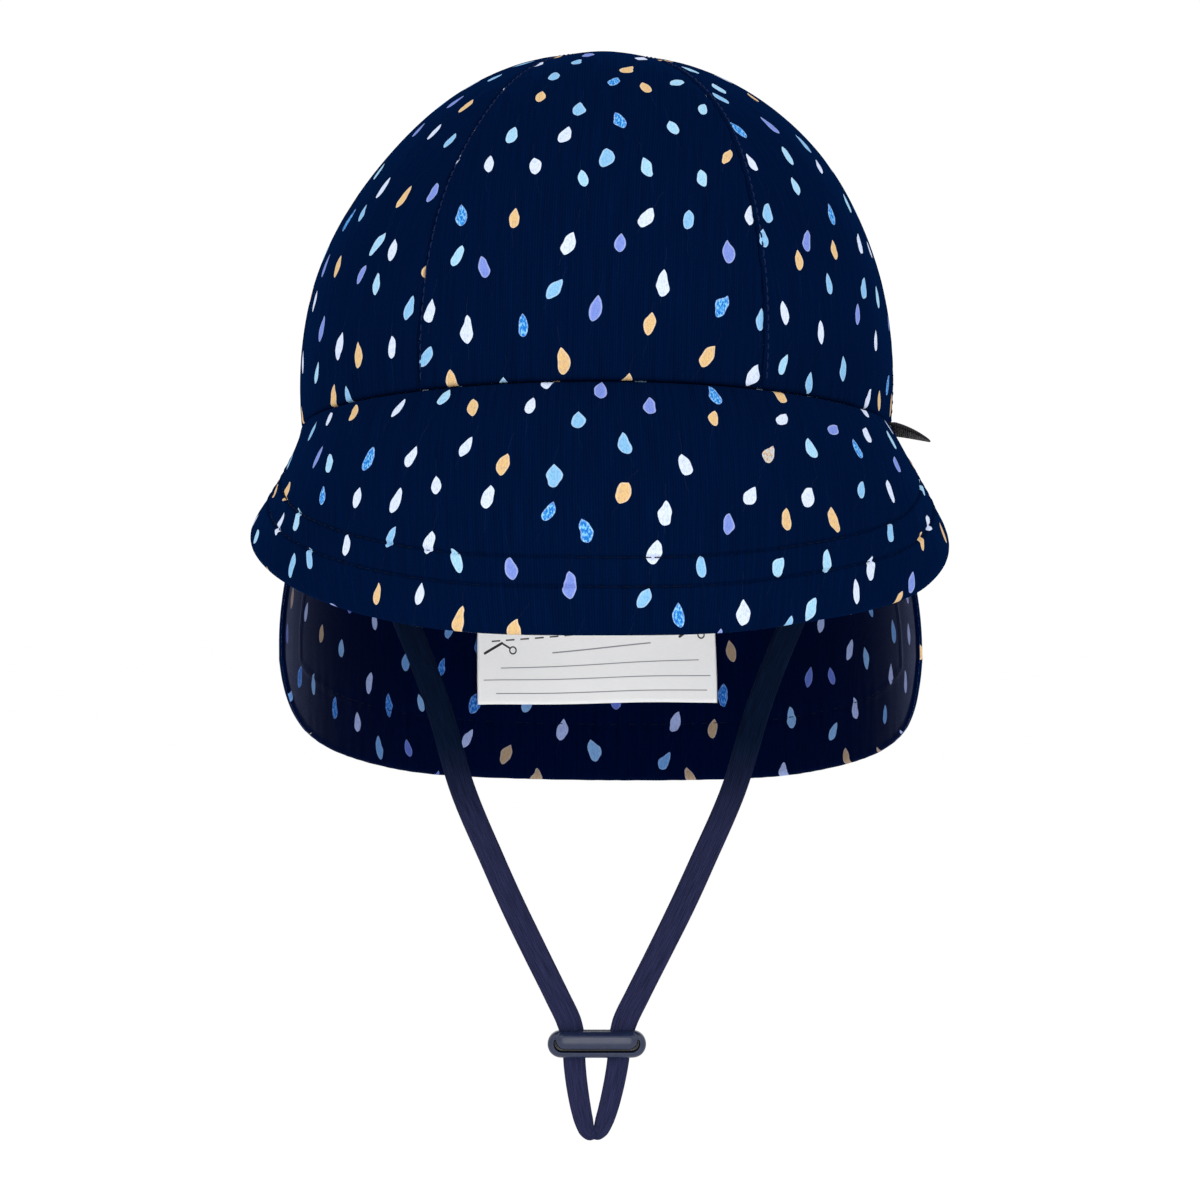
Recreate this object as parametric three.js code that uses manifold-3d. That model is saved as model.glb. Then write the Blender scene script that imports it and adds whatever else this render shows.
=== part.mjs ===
// A toddler's legionnaire hat in printed cotton jersey: a crown of six sewn panels, a soft padded peak,
// a neck flap, a name label inside it, a small side tag, and a chin strap with a plastic slider.
// Millimetres, +Z up. The front of the hat faces -Y and the wearer's left is +X. The origin is the
// centre of the head opening, and the hat is shown as it is worn, with its front slightly raised.
import * as THREE from "three";
import { mergeVertices } from "three/addons/utils/BufferGeometryUtils.js";
import Module from "manifold-3d";

// Clearance between pieces that are sewn together or lie on each other
const seamGap = 0.3;

// Crown: an ellipsoid cut by the rim plane below its widest ring
const crownHalfWidth = 75;
const crownHalfLength = 90;
const crownDomeHeight = 84.4;
const rimDrop = 11;
const crownThickness = 2;
const crownLeanOffset = 2;
const seamTurn = -1.2;
const panelBulgeHeight = 1.2;
const bulgeStart = 0.25;
const apexOpening = 0.6;
const wearPitch = 5.5;

// Peak
const peakReach = 67.5;
const hangOffset = 0.9;
const peakThickness = 3.2;
const peakEndAzimuth = 96;

// Flap
const flapLength = 84;
const flapThickness = 2;
const flapFlare = 7;
const flareEnd = 0.62;
const flapWave = 1.2;
const flapWaveCount = 7;
const flapSeamGap = 1.4;

// Name label inside the flap
const labelWidth = 69;
const labelHeight = 60;
const labelThickness = 0.6;
const labelTopInset = 2;

// Side tag, a folded strip caught in the side seam
const tagWidth = 14;
const tagLength = 9.5;
const tagThickness = 1.5;
const tagAzimuth = 84;
const tagRoll = 9;
const tagDroop = 24;
const tagTaper = 0.6;
const tagSeat = 0.8;

// Chin strap and slider
const strapWidth = 6.4;
const strapThickness = 1.8;
const strapAzimuth = 84;
const strapTuck = 7;
const strapSeat = 0.8;
const strapHang = 154;
const loopLength = 22;
const sliderDrift = -0.8;
const loopDrift = -1.6;
const legSpacing = 11.4;
const slotWidthShare = 0.9;
const loopWidthShare = 0.8;
const strapSquareness = 0.6;
const sliderWidth = 24.8;
const sliderHeight = 6.7;
const sliderDepth = 6;
const sliderSlotWidth = 19.4;
const slotClearance = 0.45;
const sliderRounding = 1.5;
const barWidth = 20.6;
const barHeight = 4.3;
const barMargin = 0.25;
const barRise = 0.7;
const grooveWidth = 0.7;
const grooveDepth = 0.8;

// Seams between the six panels, in degrees from the front, on one side. The other side mirrors them,
// and the whole set is turned on the head by seamTurn.
const panelSeams = [33, 90, 147];

// The peak's cross-section, from its end beside the ear to the centre front. along is the share of the
// way there, reach is a share of peakReach, and the slopes are degrees below the rim plane.
const peakSections = [
  { along: 0.0, reach: 0.05, rootSlope: 58, edgeSlope: 58 },
  { along: 0.04, reach: 0.17, rootSlope: 56, edgeSlope: 62 },
  { along: 0.11, reach: 0.32, rootSlope: 54, edgeSlope: 68 },
  { along: 0.22, reach: 0.495, rootSlope: 51, edgeSlope: 74 },
  { along: 0.38, reach: 0.665, rootSlope: 51, edgeSlope: 82 },
  { along: 0.53, reach: 0.795, rootSlope: 51, edgeSlope: 87 },
  { along: 0.69, reach: 0.91, rootSlope: 50, edgeSlope: 87 },
  { along: 0.84, reach: 0.98, rootSlope: 48, edgeSlope: 86 },
  { along: 1.0, reach: 1.0, rootSlope: 47, edgeSlope: 85 },
];

// The flap's hem, from its front edge beside the ear to the centre back. drop is a share of flapLength.
const flapHem = [
  { along: 0.0, drop: 0.665 },
  { along: 0.035, drop: 0.75 },
  { along: 0.09, drop: 0.83 },
  { along: 0.16, drop: 0.888 },
  { along: 0.28, drop: 0.942 },
  { along: 0.46, drop: 0.981 },
  { along: 0.64, drop: 0.996 },
  { along: 1.0, drop: 1.0 },
];

// One leg of the chin strap, from the rim down to the slider. down is a share of strapHang, out is a
// share of the way from the leg's place in the slider to its place at the rim, and turn is how far the
// strap's face has turned, in degrees, from lying against the crown to facing the front.
const strapLeg = [
  { down: 0.0, out: 1.0, turn: 0 },
  { down: 0.06, out: 0.965, turn: 12 },
  { down: 0.16, out: 0.845, turn: 45 },
  { down: 0.3, out: 0.685, turn: 78 },
  { down: 0.44, out: 0.552, turn: 90 },
  { down: 0.585, out: 0.446, turn: 90 },
  { down: 0.7, out: 0.327, turn: 90 },
  { down: 0.774, out: 0.246, turn: 90 },
  { down: 0.85, out: 0.156, turn: 90 },
  { down: 0.922, out: 0.069, turn: 90 },
  { down: 0.965, out: 0.02, turn: 90 },
];

// The loop below the slider. below is a share of loopLength and out is a share of half of legSpacing.
const strapLoop = [
  { below: 0.0, out: 1.0 },
  { below: 0.17, out: 0.96 },
  { below: 0.34, out: 0.86 },
  { below: 0.52, out: 0.74 },
  { below: 0.7, out: 0.62 },
  { below: 0.85, out: 0.52 },
  { below: 0.96, out: 0.3 },
  { below: 1.0, out: 0.0 },
];

// Faces along and across each piece, and the smallest differences that count
const panelColumns = 10;
const panelRows = 14;
const peakColumns = 40;
const peakRows = 8;
const flapColumns = 42;
const flapRows = 9;
const labelColumns = 14;
const labelRows = 5;
const tagRows = 5;
const strapSteps = 84;
const strapSides = 8;
const roundSteps = 12;
const bevelSteps = 4;
const weldDistance = 1e-4;
const straightBend = 1e-6;

const navy = 0x04102e;
const cloth = new THREE.MeshStandardMaterial({ color: navy, roughness: 0.85, metalness: 0 });
const strapCloth = new THREE.MeshStandardMaterial({ color: 0x14163a, roughness: 0.8, metalness: 0 });
const satin = new THREE.MeshStandardMaterial({ color: 0xefefef, roughness: 0.6, metalness: 0 });
const tape = new THREE.MeshStandardMaterial({ color: 0x0b0b0e, roughness: 0.7, metalness: 0 });
const plastic = new THREE.MeshStandardMaterial({ color: 0x1c1f2b, roughness: 0.3, metalness: 0 });

const wasm = await Module();
wasm.setup();

const radians = THREE.MathUtils.degToRad;
const lerp = THREE.MathUtils.lerp;
const smooth = (t) => THREE.MathUtils.smoothstep(t, 0, 1);

// Value of a table's column on a smooth curve through its rows, level at the last one, which lies on
// the hat's centre line
function column(table, name, at) {
  const last = table.length - 1;
  const found = table.findIndex((row) => row.along >= at);
  const upper = found < 0 ? last : Math.max(1, found);
  const slopeAt = (i) => {
    if (i === last) return 0;
    const before = table[Math.max(0, i - 1)];
    const after = table[i + 1];
    return (after[name] - before[name]) / (after.along - before.along);
  };
  const a = table[upper - 1];
  const b = table[upper];
  const span = b.along - a.along;
  const t = THREE.MathUtils.clamp((at - a.along) / span, 0, 1);
  const rise = (1 - t) ** 2 * t * span * slopeAt(upper - 1);
  const fall = (1 - t) * t ** 2 * span * slopeAt(upper);
  return lerp(a[name], b[name], smooth(t)) + rise - fall;
}

// Closed mesh through rings of points. Each ring goes out along one face and back along the other, so
// point i lies across the thickness from point last - i, and the end caps are ladders between them.
function loft(rings) {
  const size = rings[0].length;
  const positions = rings.flat().flatMap((p) => [p.x, p.y, p.z]);
  const index = [];
  const quad = (a, b, c, d) => index.push(a, b, c, a, c, d);
  for (let r = 0; r < rings.length - 1; r++) {
    for (let i = 0; i < size; i++) {
      const j = (i + 1) % size;
      quad(r * size + i, r * size + j, (r + 1) * size + j, (r + 1) * size + i);
    }
  }
  const end = (rings.length - 1) * size;
  for (let i = 0; i < size / 2 - 1; i++) {
    const across = size - 1 - i;
    quad(i, across, across - 1, i + 1);
    quad(end + i, end + i + 1, end + across - 1, end + across);
  }
  const geometry = new THREE.BufferGeometry();
  geometry.setAttribute("position", new THREE.Float32BufferAttribute(positions, 3));
  geometry.setIndex(index);
  return facingOut(geometry);
}

// Turns every face round if the closed mesh has a negative volume
function facingOut(geometry) {
  const at = geometry.attributes.position;
  const index = geometry.index.array;
  const [a, b, c] = [new THREE.Vector3(), new THREE.Vector3(), new THREE.Vector3()];
  let volume = 0;
  for (let i = 0; i < index.length; i += 3) {
    a.fromBufferAttribute(at, index[i]);
    b.fromBufferAttribute(at, index[i + 1]);
    c.fromBufferAttribute(at, index[i + 2]);
    volume += a.dot(b.cross(c));
  }
  if (volume < 0) {
    for (let i = 0; i < index.length; i += 3) {
      [index[i + 1], index[i + 2]] = [index[i + 2], index[i + 1]];
    }
  }
  return geometry;
}

// Cloth between a face and its back: point(u, v, depth) with u and v from 0 to 1
function sheet(point, columns, rows, thickness) {
  const rings = [];
  for (let r = 0; r <= rows; r++) {
    const ring = [];
    for (let c = 0; c <= columns; c++) ring.push(point(c / columns, r / rows, 0));
    for (let c = columns; c >= 0; c--) ring.push(point(c / columns, r / rows, thickness));
    rings.push(ring);
  }
  return loft(rings);
}

function named(name, geometry, material) {
  const mesh = new THREE.Mesh(geometry, material);
  mesh.name = name;
  return mesh;
}

// Crown
const rimLatitude = -Math.asin(rimDrop / crownDomeHeight);
const tipLatitude = Math.acos(apexOpening / crownHalfWidth);

// Point of the crown: azimuth in degrees from the front, latitude in radians above the widest ring,
// puff the share of the panel's fullness there, depth how far below the outer face
function crownPoint(azimuth, latitude, puff, depth) {
  const turn = radians(azimuth);
  const level = Math.cos(latitude);
  const outer = new THREE.Vector3(
    crownHalfWidth * level * Math.sin(turn),
    -crownHalfLength * level * Math.cos(turn),
    crownDomeHeight * Math.sin(latitude),
  );
  const normal = new THREE.Vector3(
    outer.x / crownHalfWidth ** 2,
    outer.y / crownHalfLength ** 2,
    outer.z / crownDomeHeight ** 2,
  ).normalize();
  const point = outer.addScaledVector(normal, panelBulgeHeight * puff - depth);
  point.z += rimDrop;
  point.x += crownLeanOffset * (point.z / (crownDomeHeight + rimDrop) - 0.5);
  return point;
}

// Length of a degree of azimuth on the widest ring, in millimetres
function degreeLength(azimuth) {
  const turn = radians(azimuth);
  return radians(Math.hypot(crownHalfWidth * Math.cos(turn), crownHalfLength * Math.sin(turn)));
}

// One panel between two seams: full between them, flush at the seams, the rim and the apex
function crownPanel(from, to) {
  const point = (u, v, depth) => {
    const latitude = lerp(rimLatitude, tipLatitude, v);
    const level = Math.cos(latitude);
    const start = from + seamGap / 2 / (degreeLength(from) * level);
    const stop = to - seamGap / 2 / (degreeLength(to) * level);
    const puff = Math.sin(Math.PI * u) * Math.min(1, v / bulgeStart) * Math.sqrt(level);
    return crownPoint(lerp(start, stop, u), latitude, puff, depth);
  };
  return sheet(point, panelColumns, panelRows, crownThickness);
}

// Peak: a cross-section that curves down as it leaves the rim, carried round the front
function peakPoint(azimuth, v, depth) {
  const along = Math.max(0, 1 - Math.abs(azimuth) / peakEndAzimuth);
  const reach = peakReach * column(peakSections, "reach", along);
  const root = radians(column(peakSections, "rootSlope", along));
  const edge = radians(column(peakSections, "edgeSlope", along));
  const slope = lerp(root, edge, v);
  const bend = Math.max(edge - root, straightBend);
  const forward = (reach * (Math.sin(slope) - Math.sin(root))) / bend;
  const down = (reach * (Math.cos(root) - Math.cos(slope))) / bend;
  const out = outward(azimuth);
  const point = crownPoint(azimuth, rimLatitude, 0, 0);
  point.addScaledVector(out, forward - depth * Math.sin(slope));
  point.x += hangOffset * v;
  point.z -= seamGap + down + depth * Math.cos(slope);
  return point;
}

// Direction square to the rim at an azimuth, in the rim plane
function outward(azimuth) {
  const turn = radians(azimuth);
  return new THREE.Vector3(
    Math.sin(turn) / crownHalfWidth,
    -Math.cos(turn) / crownHalfLength,
    0,
  ).normalize();
}

function peak() {
  const point = (u, v, depth) => peakPoint(lerp(-peakEndAzimuth, peakEndAzimuth, u), v, depth);
  return sheet(point, peakColumns, peakRows, peakThickness);
}

// The hat as worn: its rim plane tips back about the line between the ears
const worn = new THREE.Euler(-radians(wearPitch), 0, 0);

function rimAsWorn(azimuth, inset) {
  const rim = crownPoint(azimuth, rimLatitude, 0, 0);
  return rim.addScaledVector(outward(azimuth), -inset).applyEuler(worn);
}

// Flap: hangs plumb from the rim, from ear to ear round the back
const flapStart = peakEndAzimuth + flapSeamGap / degreeLength(peakEndAzimuth);

function flapDrop(azimuth) {
  const along = 1 - Math.abs(azimuth - 180) / (180 - flapStart);
  return flapLength * column(flapHem, "drop", Math.max(0, along));
}

// How far the flap stands out from the rim at a height, before its waves
const flare = (down) => flapFlare * smooth(down / flapLength / flareEnd);

function flapPoint(azimuth, down, depth) {
  const along = (azimuth - flapStart) / (360 - 2 * flapStart);
  const fall = down / flapLength;
  const wave = flapWave * fall * Math.sin(Math.PI * along) * Math.sin(Math.PI * flapWaveCount * along);
  const point = rimAsWorn(azimuth, depth);
  point.addScaledVector(outward(azimuth), flare(down) + wave);
  point.x += hangOffset * smooth(fall);
  point.z -= seamGap + down + crownThickness * Math.tan(radians(wearPitch));
  return point;
}

function flap() {
  const point = (u, v, depth) => {
    const azimuth = lerp(flapStart, 360 - flapStart, u);
    return flapPoint(azimuth, v * flapDrop(azimuth), depth);
  };
  return sheet(point, flapColumns, flapRows, flapThickness);
}

// Name label: a satin rectangle against the inside of the flap at the centre back. Its reach in degrees
// shrinks as the flap flares out, so that it keeps its width.
function nameLabel() {
  const backRadius = crownHalfWidth ** 2 / crownHalfLength;
  const point = (u, v, depth) => {
    const down = labelTopInset + v * labelHeight;
    const reach = labelWidth / 2 / (degreeLength(180) * (1 + flare(down) / backRadius));
    return flapPoint(lerp(180 - reach, 180 + reach, u), down, flapThickness + seamGap + depth);
  };
  return sheet(point, labelColumns, labelRows, labelThickness);
}

// Side tag: a short tongue that leaves the rim at the side, droops and is slightly rolled
function sideTag() {
  const start = crownPoint(tagAzimuth, rimLatitude, 0, -tagSeat);
  const along = new THREE.Vector3(0, 1, 0).applyAxisAngle(outward(tagAzimuth), radians(tagRoll));
  const point = (u, v, depth) => {
    const droop = radians(tagDroop) * v;
    const out = outward(tagAzimuth).multiplyScalar(tagLength * v * Math.cos(droop / 2));
    const thin = tagThickness * (1 - tagTaper * v ** 3);
    return start
      .clone()
      .add(out)
      .addScaledVector(along, (u - 0.5) * tagWidth)
      .add(new THREE.Vector3(0, 0, thin * (1 - depth) - tagLength * v * Math.sin(droop / 2)));
  };
  return sheet(point, 2, tagRows, 1);
}

// Chin strap: down inside the rim on one side, through the slider, round the loop and up again
const strapInset = crownThickness + strapSeat + strapThickness / 2;
const strapTop = rimAsWorn(strapAzimuth, strapInset);
const strapPlane = strapTop.y;
const halfLegs = legSpacing / 2;

function strapStations() {
  const leg = strapLeg.map((row) => ({
    out: lerp(halfLegs, strapTop.x, row.out),
    z: -strapHang * row.down,
    turn: row.turn,
    width: 1,
    drift: sliderDrift * row.down,
  }));
  const tuck = { ...leg[0], z: strapTuck };
  const loop = strapLoop.map((row) => ({
    out: halfLegs * row.out,
    z: -strapHang - loopLength * row.below,
    turn: 90,
    width: lerp(slotWidthShare, loopWidthShare, row.below),
    drift: lerp(sliderDrift, loopDrift, row.below),
  }));
  const oneSide = [tuck, ...leg, ...loop];
  const mirrored = oneSide.slice(0, -1).reverse();
  return [
    ...oneSide.map((s) => ({ ...s, side: -1 })),
    ...mirrored.map((s) => ({ ...s, side: 1 })),
  ];
}

function strapGeometry() {
  const stations = strapStations();
  const places = stations.map((s) => new THREE.Vector3(s.side * s.out + s.drift, strapPlane, s.z));
  const curve = new THREE.CatmullRomCurve3(places, false, "centripetal");
  const rings = [];
  for (let i = 0; i <= strapSteps; i++) {
    const at = (i / strapSteps) * (stations.length - 1);
    const lower = Math.min(Math.floor(at), stations.length - 2);
    const share = at - lower;
    const mix = (name) => lerp(stations[lower][name], stations[lower + 1][name], share);
    const side = mix("side");
    const centre = curve.getPoint(i / strapSteps);
    const tangent = curve.getTangent(i / strapSteps);
    const front = new THREE.Vector3(0, -1, 0);
    const across = new THREE.Vector3().crossVectors(front, tangent).normalize();
    const turn = radians(90 - mix("turn")) * Math.sign(side || 1);
    across.applyAxisAngle(tangent, turn);
    front.crossVectors(tangent, across).normalize();
    rings.push(strapRing(centre, across, front, strapWidth * mix("width")));
  }
  return loft(rings);
}

// Flat oval section of the strap
function strapRing(centre, across, front, width) {
  const ring = [];
  for (let i = 0; i < strapSides; i++) {
    const angle = (2 * Math.PI * (i + 0.5)) / strapSides;
    const wide = Math.sign(Math.cos(angle)) * Math.abs(Math.cos(angle)) ** strapSquareness;
    const thick = Math.sign(Math.sin(angle)) * Math.abs(Math.sin(angle)) ** strapSquareness;
    ring.push(
      centre
        .clone()
        .addScaledVector(across, (wide * width) / 2)
        .addScaledVector(front, (thick * strapThickness) / 2),
    );
  }
  return ring;
}

// Solid of a closed three.js geometry, for cutting and joining
function solid(geometry) {
  const bare = geometry.clone();
  bare.deleteAttribute("normal");
  bare.deleteAttribute("uv");
  const merged = mergeVertices(bare, weldDistance);
  const mesh = new wasm.Mesh({
    numProp: 3,
    vertProperties: merged.attributes.position.array,
    triVerts: new Uint32Array(merged.index.array),
  });
  return new wasm.Manifold(mesh);
}

function geometryOf(manifold) {
  const mesh = manifold.getMesh();
  const geometry = new THREE.BufferGeometry();
  geometry.setAttribute("position", new THREE.BufferAttribute(mesh.vertProperties, 3));
  geometry.setIndex(new THREE.BufferAttribute(mesh.triVerts, 1));
  return geometry;
}

// Oval bar seen from the front, with round ends, thick from front to back and rounded at both faces
function ovalBar(width, height, depth, rounding) {
  const radius = height / 2 - rounding;
  const straight = width / 2 - height / 2;
  const outline = new THREE.Shape();
  outline.absarc(straight, 0, radius, -Math.PI / 2, Math.PI / 2, false);
  outline.absarc(-straight, 0, radius, Math.PI / 2, (3 * Math.PI) / 2, false);
  const geometry = new THREE.ExtrudeGeometry(outline, {
    depth: depth - 2 * rounding,
    bevelEnabled: rounding > 0,
    bevelSize: rounding,
    bevelThickness: rounding,
    bevelSegments: bevelSteps,
    curveSegments: roundSteps,
  });
  geometry.translate(0, 0, rounding - depth / 2);
  geometry.rotateX(Math.PI / 2);
  return geometry;
}

// Slider: an oval bead with one tunnel for both legs, and a raised bar in a groove on its front
function sliderGeometry() {
  const bead = solid(ovalBar(sliderWidth, sliderHeight, sliderDepth, sliderRounding));
  const tunnelDepth = strapThickness + 2 * slotClearance;
  const tunnel = solid(new THREE.BoxGeometry(sliderSlotWidth, tunnelDepth, 2 * sliderHeight));
  const barLift = (sliderHeight - barHeight) / 2 - barMargin;
  const front = -sliderDepth / 2;
  const trench = ovalBar(barWidth + 2 * grooveWidth, barHeight + 2 * grooveWidth, 2 * grooveDepth, 0);
  const barDepth = 2 * (barRise + grooveDepth);
  const bar = ovalBar(barWidth, barHeight, barDepth, barRise);
  trench.translate(0, front, barLift);
  bar.translate(0, front + grooveDepth, barLift);
  return geometryOf(bead.subtract(solid(trench)).add(solid(bar)).subtract(tunnel));
}

const hat = new THREE.Group();

const sewn = new THREE.Group();
sewn.rotation.copy(worn);
hat.add(sewn);
const [frontSeam, sideSeam, backSeam] = panelSeams;
const panels = [
  ["panel_front", -frontSeam, frontSeam],
  ["panel_front_left", frontSeam, sideSeam],
  ["panel_back_left", sideSeam, backSeam],
  ["panel_back", backSeam, 360 - backSeam],
  ["panel_back_right", 360 - backSeam, 360 - sideSeam],
  ["panel_front_right", 360 - sideSeam, 360 - frontSeam],
];
for (const [name, from, to] of panels) {
  sewn.add(named(name, crownPanel(from + seamTurn, to + seamTurn), cloth));
}
sewn.add(named("peak", peak(), cloth));
sewn.add(named("side_tag", sideTag(), tape));

hat.add(named("neck_flap", flap(), cloth));
hat.add(named("name_label", nameLabel(), satin));
hat.add(named("chin_strap", strapGeometry(), strapCloth));

const slider = named("slider", sliderGeometry(), plastic);
slider.position.set(sliderDrift, strapPlane, -strapHang);
hat.add(slider);

export default hat;
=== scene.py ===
"""A toddler's legionnaire hat in printed cotton jersey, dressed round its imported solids.

The file follows the hat as it is made up: the crown's six gores, their stitched seams, the padded peak,
the neck flap, the name label, the side tag, the chin strap and its slider. Lengths are millimetres until
a mesh is made, and the front of the hat faces -Y.
"""

import bpy
import mathutils
import numpy as np
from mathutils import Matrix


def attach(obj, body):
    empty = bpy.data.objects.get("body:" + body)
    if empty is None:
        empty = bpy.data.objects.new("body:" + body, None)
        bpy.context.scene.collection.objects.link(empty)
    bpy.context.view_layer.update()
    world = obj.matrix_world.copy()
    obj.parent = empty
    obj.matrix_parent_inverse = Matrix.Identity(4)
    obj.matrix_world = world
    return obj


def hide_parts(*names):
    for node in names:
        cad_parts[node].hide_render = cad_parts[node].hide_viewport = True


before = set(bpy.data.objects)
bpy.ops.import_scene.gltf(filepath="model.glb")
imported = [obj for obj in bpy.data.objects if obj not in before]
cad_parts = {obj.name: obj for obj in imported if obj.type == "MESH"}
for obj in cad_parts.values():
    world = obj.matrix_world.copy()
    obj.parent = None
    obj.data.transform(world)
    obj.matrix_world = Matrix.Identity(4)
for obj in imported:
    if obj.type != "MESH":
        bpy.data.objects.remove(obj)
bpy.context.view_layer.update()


# Studio: the hat hangs free as a head would hold it, over a plain pale floor, in soft white light. The
# lens is level, a metre in front of the hat's middle and a little below the rim.
METRES = 0.001
EYE_DISTANCE = 1000.0
EYE_BELOW_RIM = 42.3
FRAME_WIDTH_AT_HAT = 304.8
SENSOR_WIDTH = 36.0
HAT_MIDDLE = (0, 0, -20)
FLOOR_BELOW_RIM = 450.0
FLOOR_RADIUS = 40000.0
FLOOR_WHITE = 0.97
STUDIO_LIGHT = 1.03
LAMPS = [
    {"name": "key_light", "place": (-700, -1100, 1100), "size": 1.0, "watts": 5.0},
    {"name": "fill_light", "place": (1100, -900, 500), "size": 1.0, "watts": 2.5},
    {"name": "low_light", "place": (0, -1400, -330), "size": 0.8, "watts": 7.5},
]


def area_light(name, place, size, watts):
    """Square area light with a side in metres, turned so that its -Z axis points at the hat's middle."""
    data = bpy.data.lights.new(name, "AREA")
    data.size = size
    data.energy = watts
    lamp = bpy.data.objects.new(name, data)
    lamp.location = [length * METRES for length in place]
    towards = mathutils.Vector(HAT_MIDDLE) - mathutils.Vector(place)
    lamp.rotation_euler = towards.to_track_quat("-Z", "Y").to_euler()
    bpy.context.collection.objects.link(lamp)


scene = bpy.context.scene
lens = bpy.data.cameras.new("camera")
lens.sensor_width = SENSOR_WIDTH
lens.lens = SENSOR_WIDTH * EYE_DISTANCE / FRAME_WIDTH_AT_HAT
camera = bpy.data.objects.new("camera", lens)
camera.location = (0, -EYE_DISTANCE * METRES, -EYE_BELOW_RIM * METRES)
camera.rotation_euler = (np.pi / 2, 0, 0)
bpy.context.collection.objects.link(camera)
scene.camera = camera
scene.view_settings.view_transform = "Standard"

for row in LAMPS:
    area_light(**row)
world = bpy.data.worlds.new("studio")
world.use_nodes = True
world.node_tree.nodes["Background"].inputs["Color"].default_value = (1, 1, 1, 1)
world.node_tree.nodes["Background"].inputs["Strength"].default_value = STUDIO_LIGHT
scene.world = world

bpy.ops.mesh.primitive_circle_add(
    vertices=96,
    radius=FLOOR_RADIUS * METRES,
    fill_type="NGON",
    location=(0, 0, -FLOOR_BELOW_RIM * METRES),
)
floor = bpy.context.object
floor.name = "floor"
floor_paint = bpy.data.materials.new("floor_paint")
floor_paint.use_nodes = True
floor_shader = floor_paint.node_tree.nodes["Principled BSDF"]
floor_shader.inputs["Base Color"].default_value = (FLOOR_WHITE, FLOOR_WHITE, FLOOR_WHITE, 1)
floor_shader.inputs["Roughness"].default_value = 1.0
floor_shader.inputs["Specular IOR Level"].default_value = 0.0
floor.data.materials.append(floor_paint)


# Crown: six gores of navy cotton jersey, printed with scattered teardrops, sewn together edge to edge and
# lined, so that each is a soft wall about 2 mm thick. The crown sits on the head with its front raised.
CROWN_HALF_WIDTH = 75.0
CROWN_HALF_LENGTH = 90.0
CROWN_DOME_HEIGHT = 84.4
RIM_DROP = 11.0
RIM_LATITUDE = -np.arcsin(RIM_DROP / CROWN_DOME_HEIGHT)
CROWN_LEAN = 2.0
SWAY = 0.9
SWAY_HEIGHT = 70.0
SWAY_REACH = 16.0
TOP_FULLNESS = 1.1
TOP_REACH = 20.0
TOP_ASIDE = 17.0
WEAR_PITCH = 5.5
CROWN_WALL = 1.9
GORE_BULGE = 1.2
BULGE_START = 0.25
SEAM_TURN = -1.2
SEAM_ROLL = 1.3
SEAM_CLEARANCE = 0.06
APEX_RADIUS = 0.25
THINNEST_EDGE = 0.05
GORE_ROWS = {"roll": 0.012, "fine": 4, "coarse": 112}
GORE_COLUMNS = {"roll": SEAM_ROLL, "fine": 5, "coarse": 52}
GORE_SOFTNESS = {"height": 0.35, "wavelength": 46, "seed": 3}
SOFT_FROM_SEAM = 12.0
SOFT_FROM_RIM = 15.0
PUCKER = {"height": 0.16, "reach": 4.5, "length": 6.2, "drift": 21.0, "wander": 1.7, "step": 2.3}
PUCKER_FADE = 8.0
LINING_SHIFT = (37, 19)
GORES = [
    {"node": "panel_front", "start": -33, "end": 33, "cut_at": (12, 8)},
    {"node": "panel_front_left", "start": 33, "end": 90, "cut_at": (131, 45)},
    {"node": "panel_back_left", "start": 90, "end": 147, "cut_at": (260, 21)},
    {"node": "panel_back", "start": 147, "end": 213, "cut_at": (371, 80)},
    {"node": "panel_back_right", "start": 213, "end": 270, "cut_at": (505, 33)},
    {"node": "panel_front_right", "start": 270, "end": 327, "cut_at": (618, 62)},
]


def crown_point(azimuth, latitude, lift):
    """Ellipsoid cut off below its widest ring: azimuth in degrees from the front, latitude in radians
    above the ring, and lift in mm along the normal (x/a^2, y/b^2, z/c^2). It leans a little sideways,
    most at SWAY_HEIGHT, and stands a little fuller on one side of its top."""
    turn = np.radians(azimuth)
    level = np.cos(latitude)
    x = CROWN_HALF_WIDTH * level * np.sin(turn)
    y = -CROWN_HALF_LENGTH * level * np.cos(turn)
    z = CROWN_DOME_HEIGHT * np.sin(latitude) + 0 * turn
    normal = np.stack([x / CROWN_HALF_WIDTH**2, y / CROWN_HALF_LENGTH**2, z / CROWN_DOME_HEIGHT**2], -1)
    normal = normal / np.linalg.norm(normal, axis=-1, keepdims=True)
    fuller = TOP_FULLNESS * np.exp(-((x + TOP_ASIDE) ** 2 + y**2) / TOP_REACH**2)
    points = np.stack([x, y, z], -1) + normal * (lift + fuller * (z > 0))[..., None]
    points[..., 2] += RIM_DROP
    points[..., 0] += CROWN_LEAN * (points[..., 2] / (CROWN_DOME_HEIGHT + RIM_DROP) - 0.5)
    points[..., 0] += SWAY * np.exp(-(((points[..., 2] - SWAY_HEIGHT) / SWAY_REACH) ** 2))
    return points


def as_worn(points):
    """Tips points back about the line between the ears by WEAR_PITCH degrees."""
    tip = np.radians(WEAR_PITCH)
    x, y, z = np.moveaxis(points, -1, 0)
    return np.stack([x, y * np.cos(tip) + z * np.sin(tip), z * np.cos(tip) - y * np.sin(tip)], -1)


def ring_radius(azimuth):
    """Length in mm of one radian of azimuth on the crown's widest ring."""
    turn = np.radians(azimuth)
    return np.hypot(CROWN_HALF_WIDTH * np.cos(turn), CROWN_HALF_LENGTH * np.sin(turn))


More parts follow.
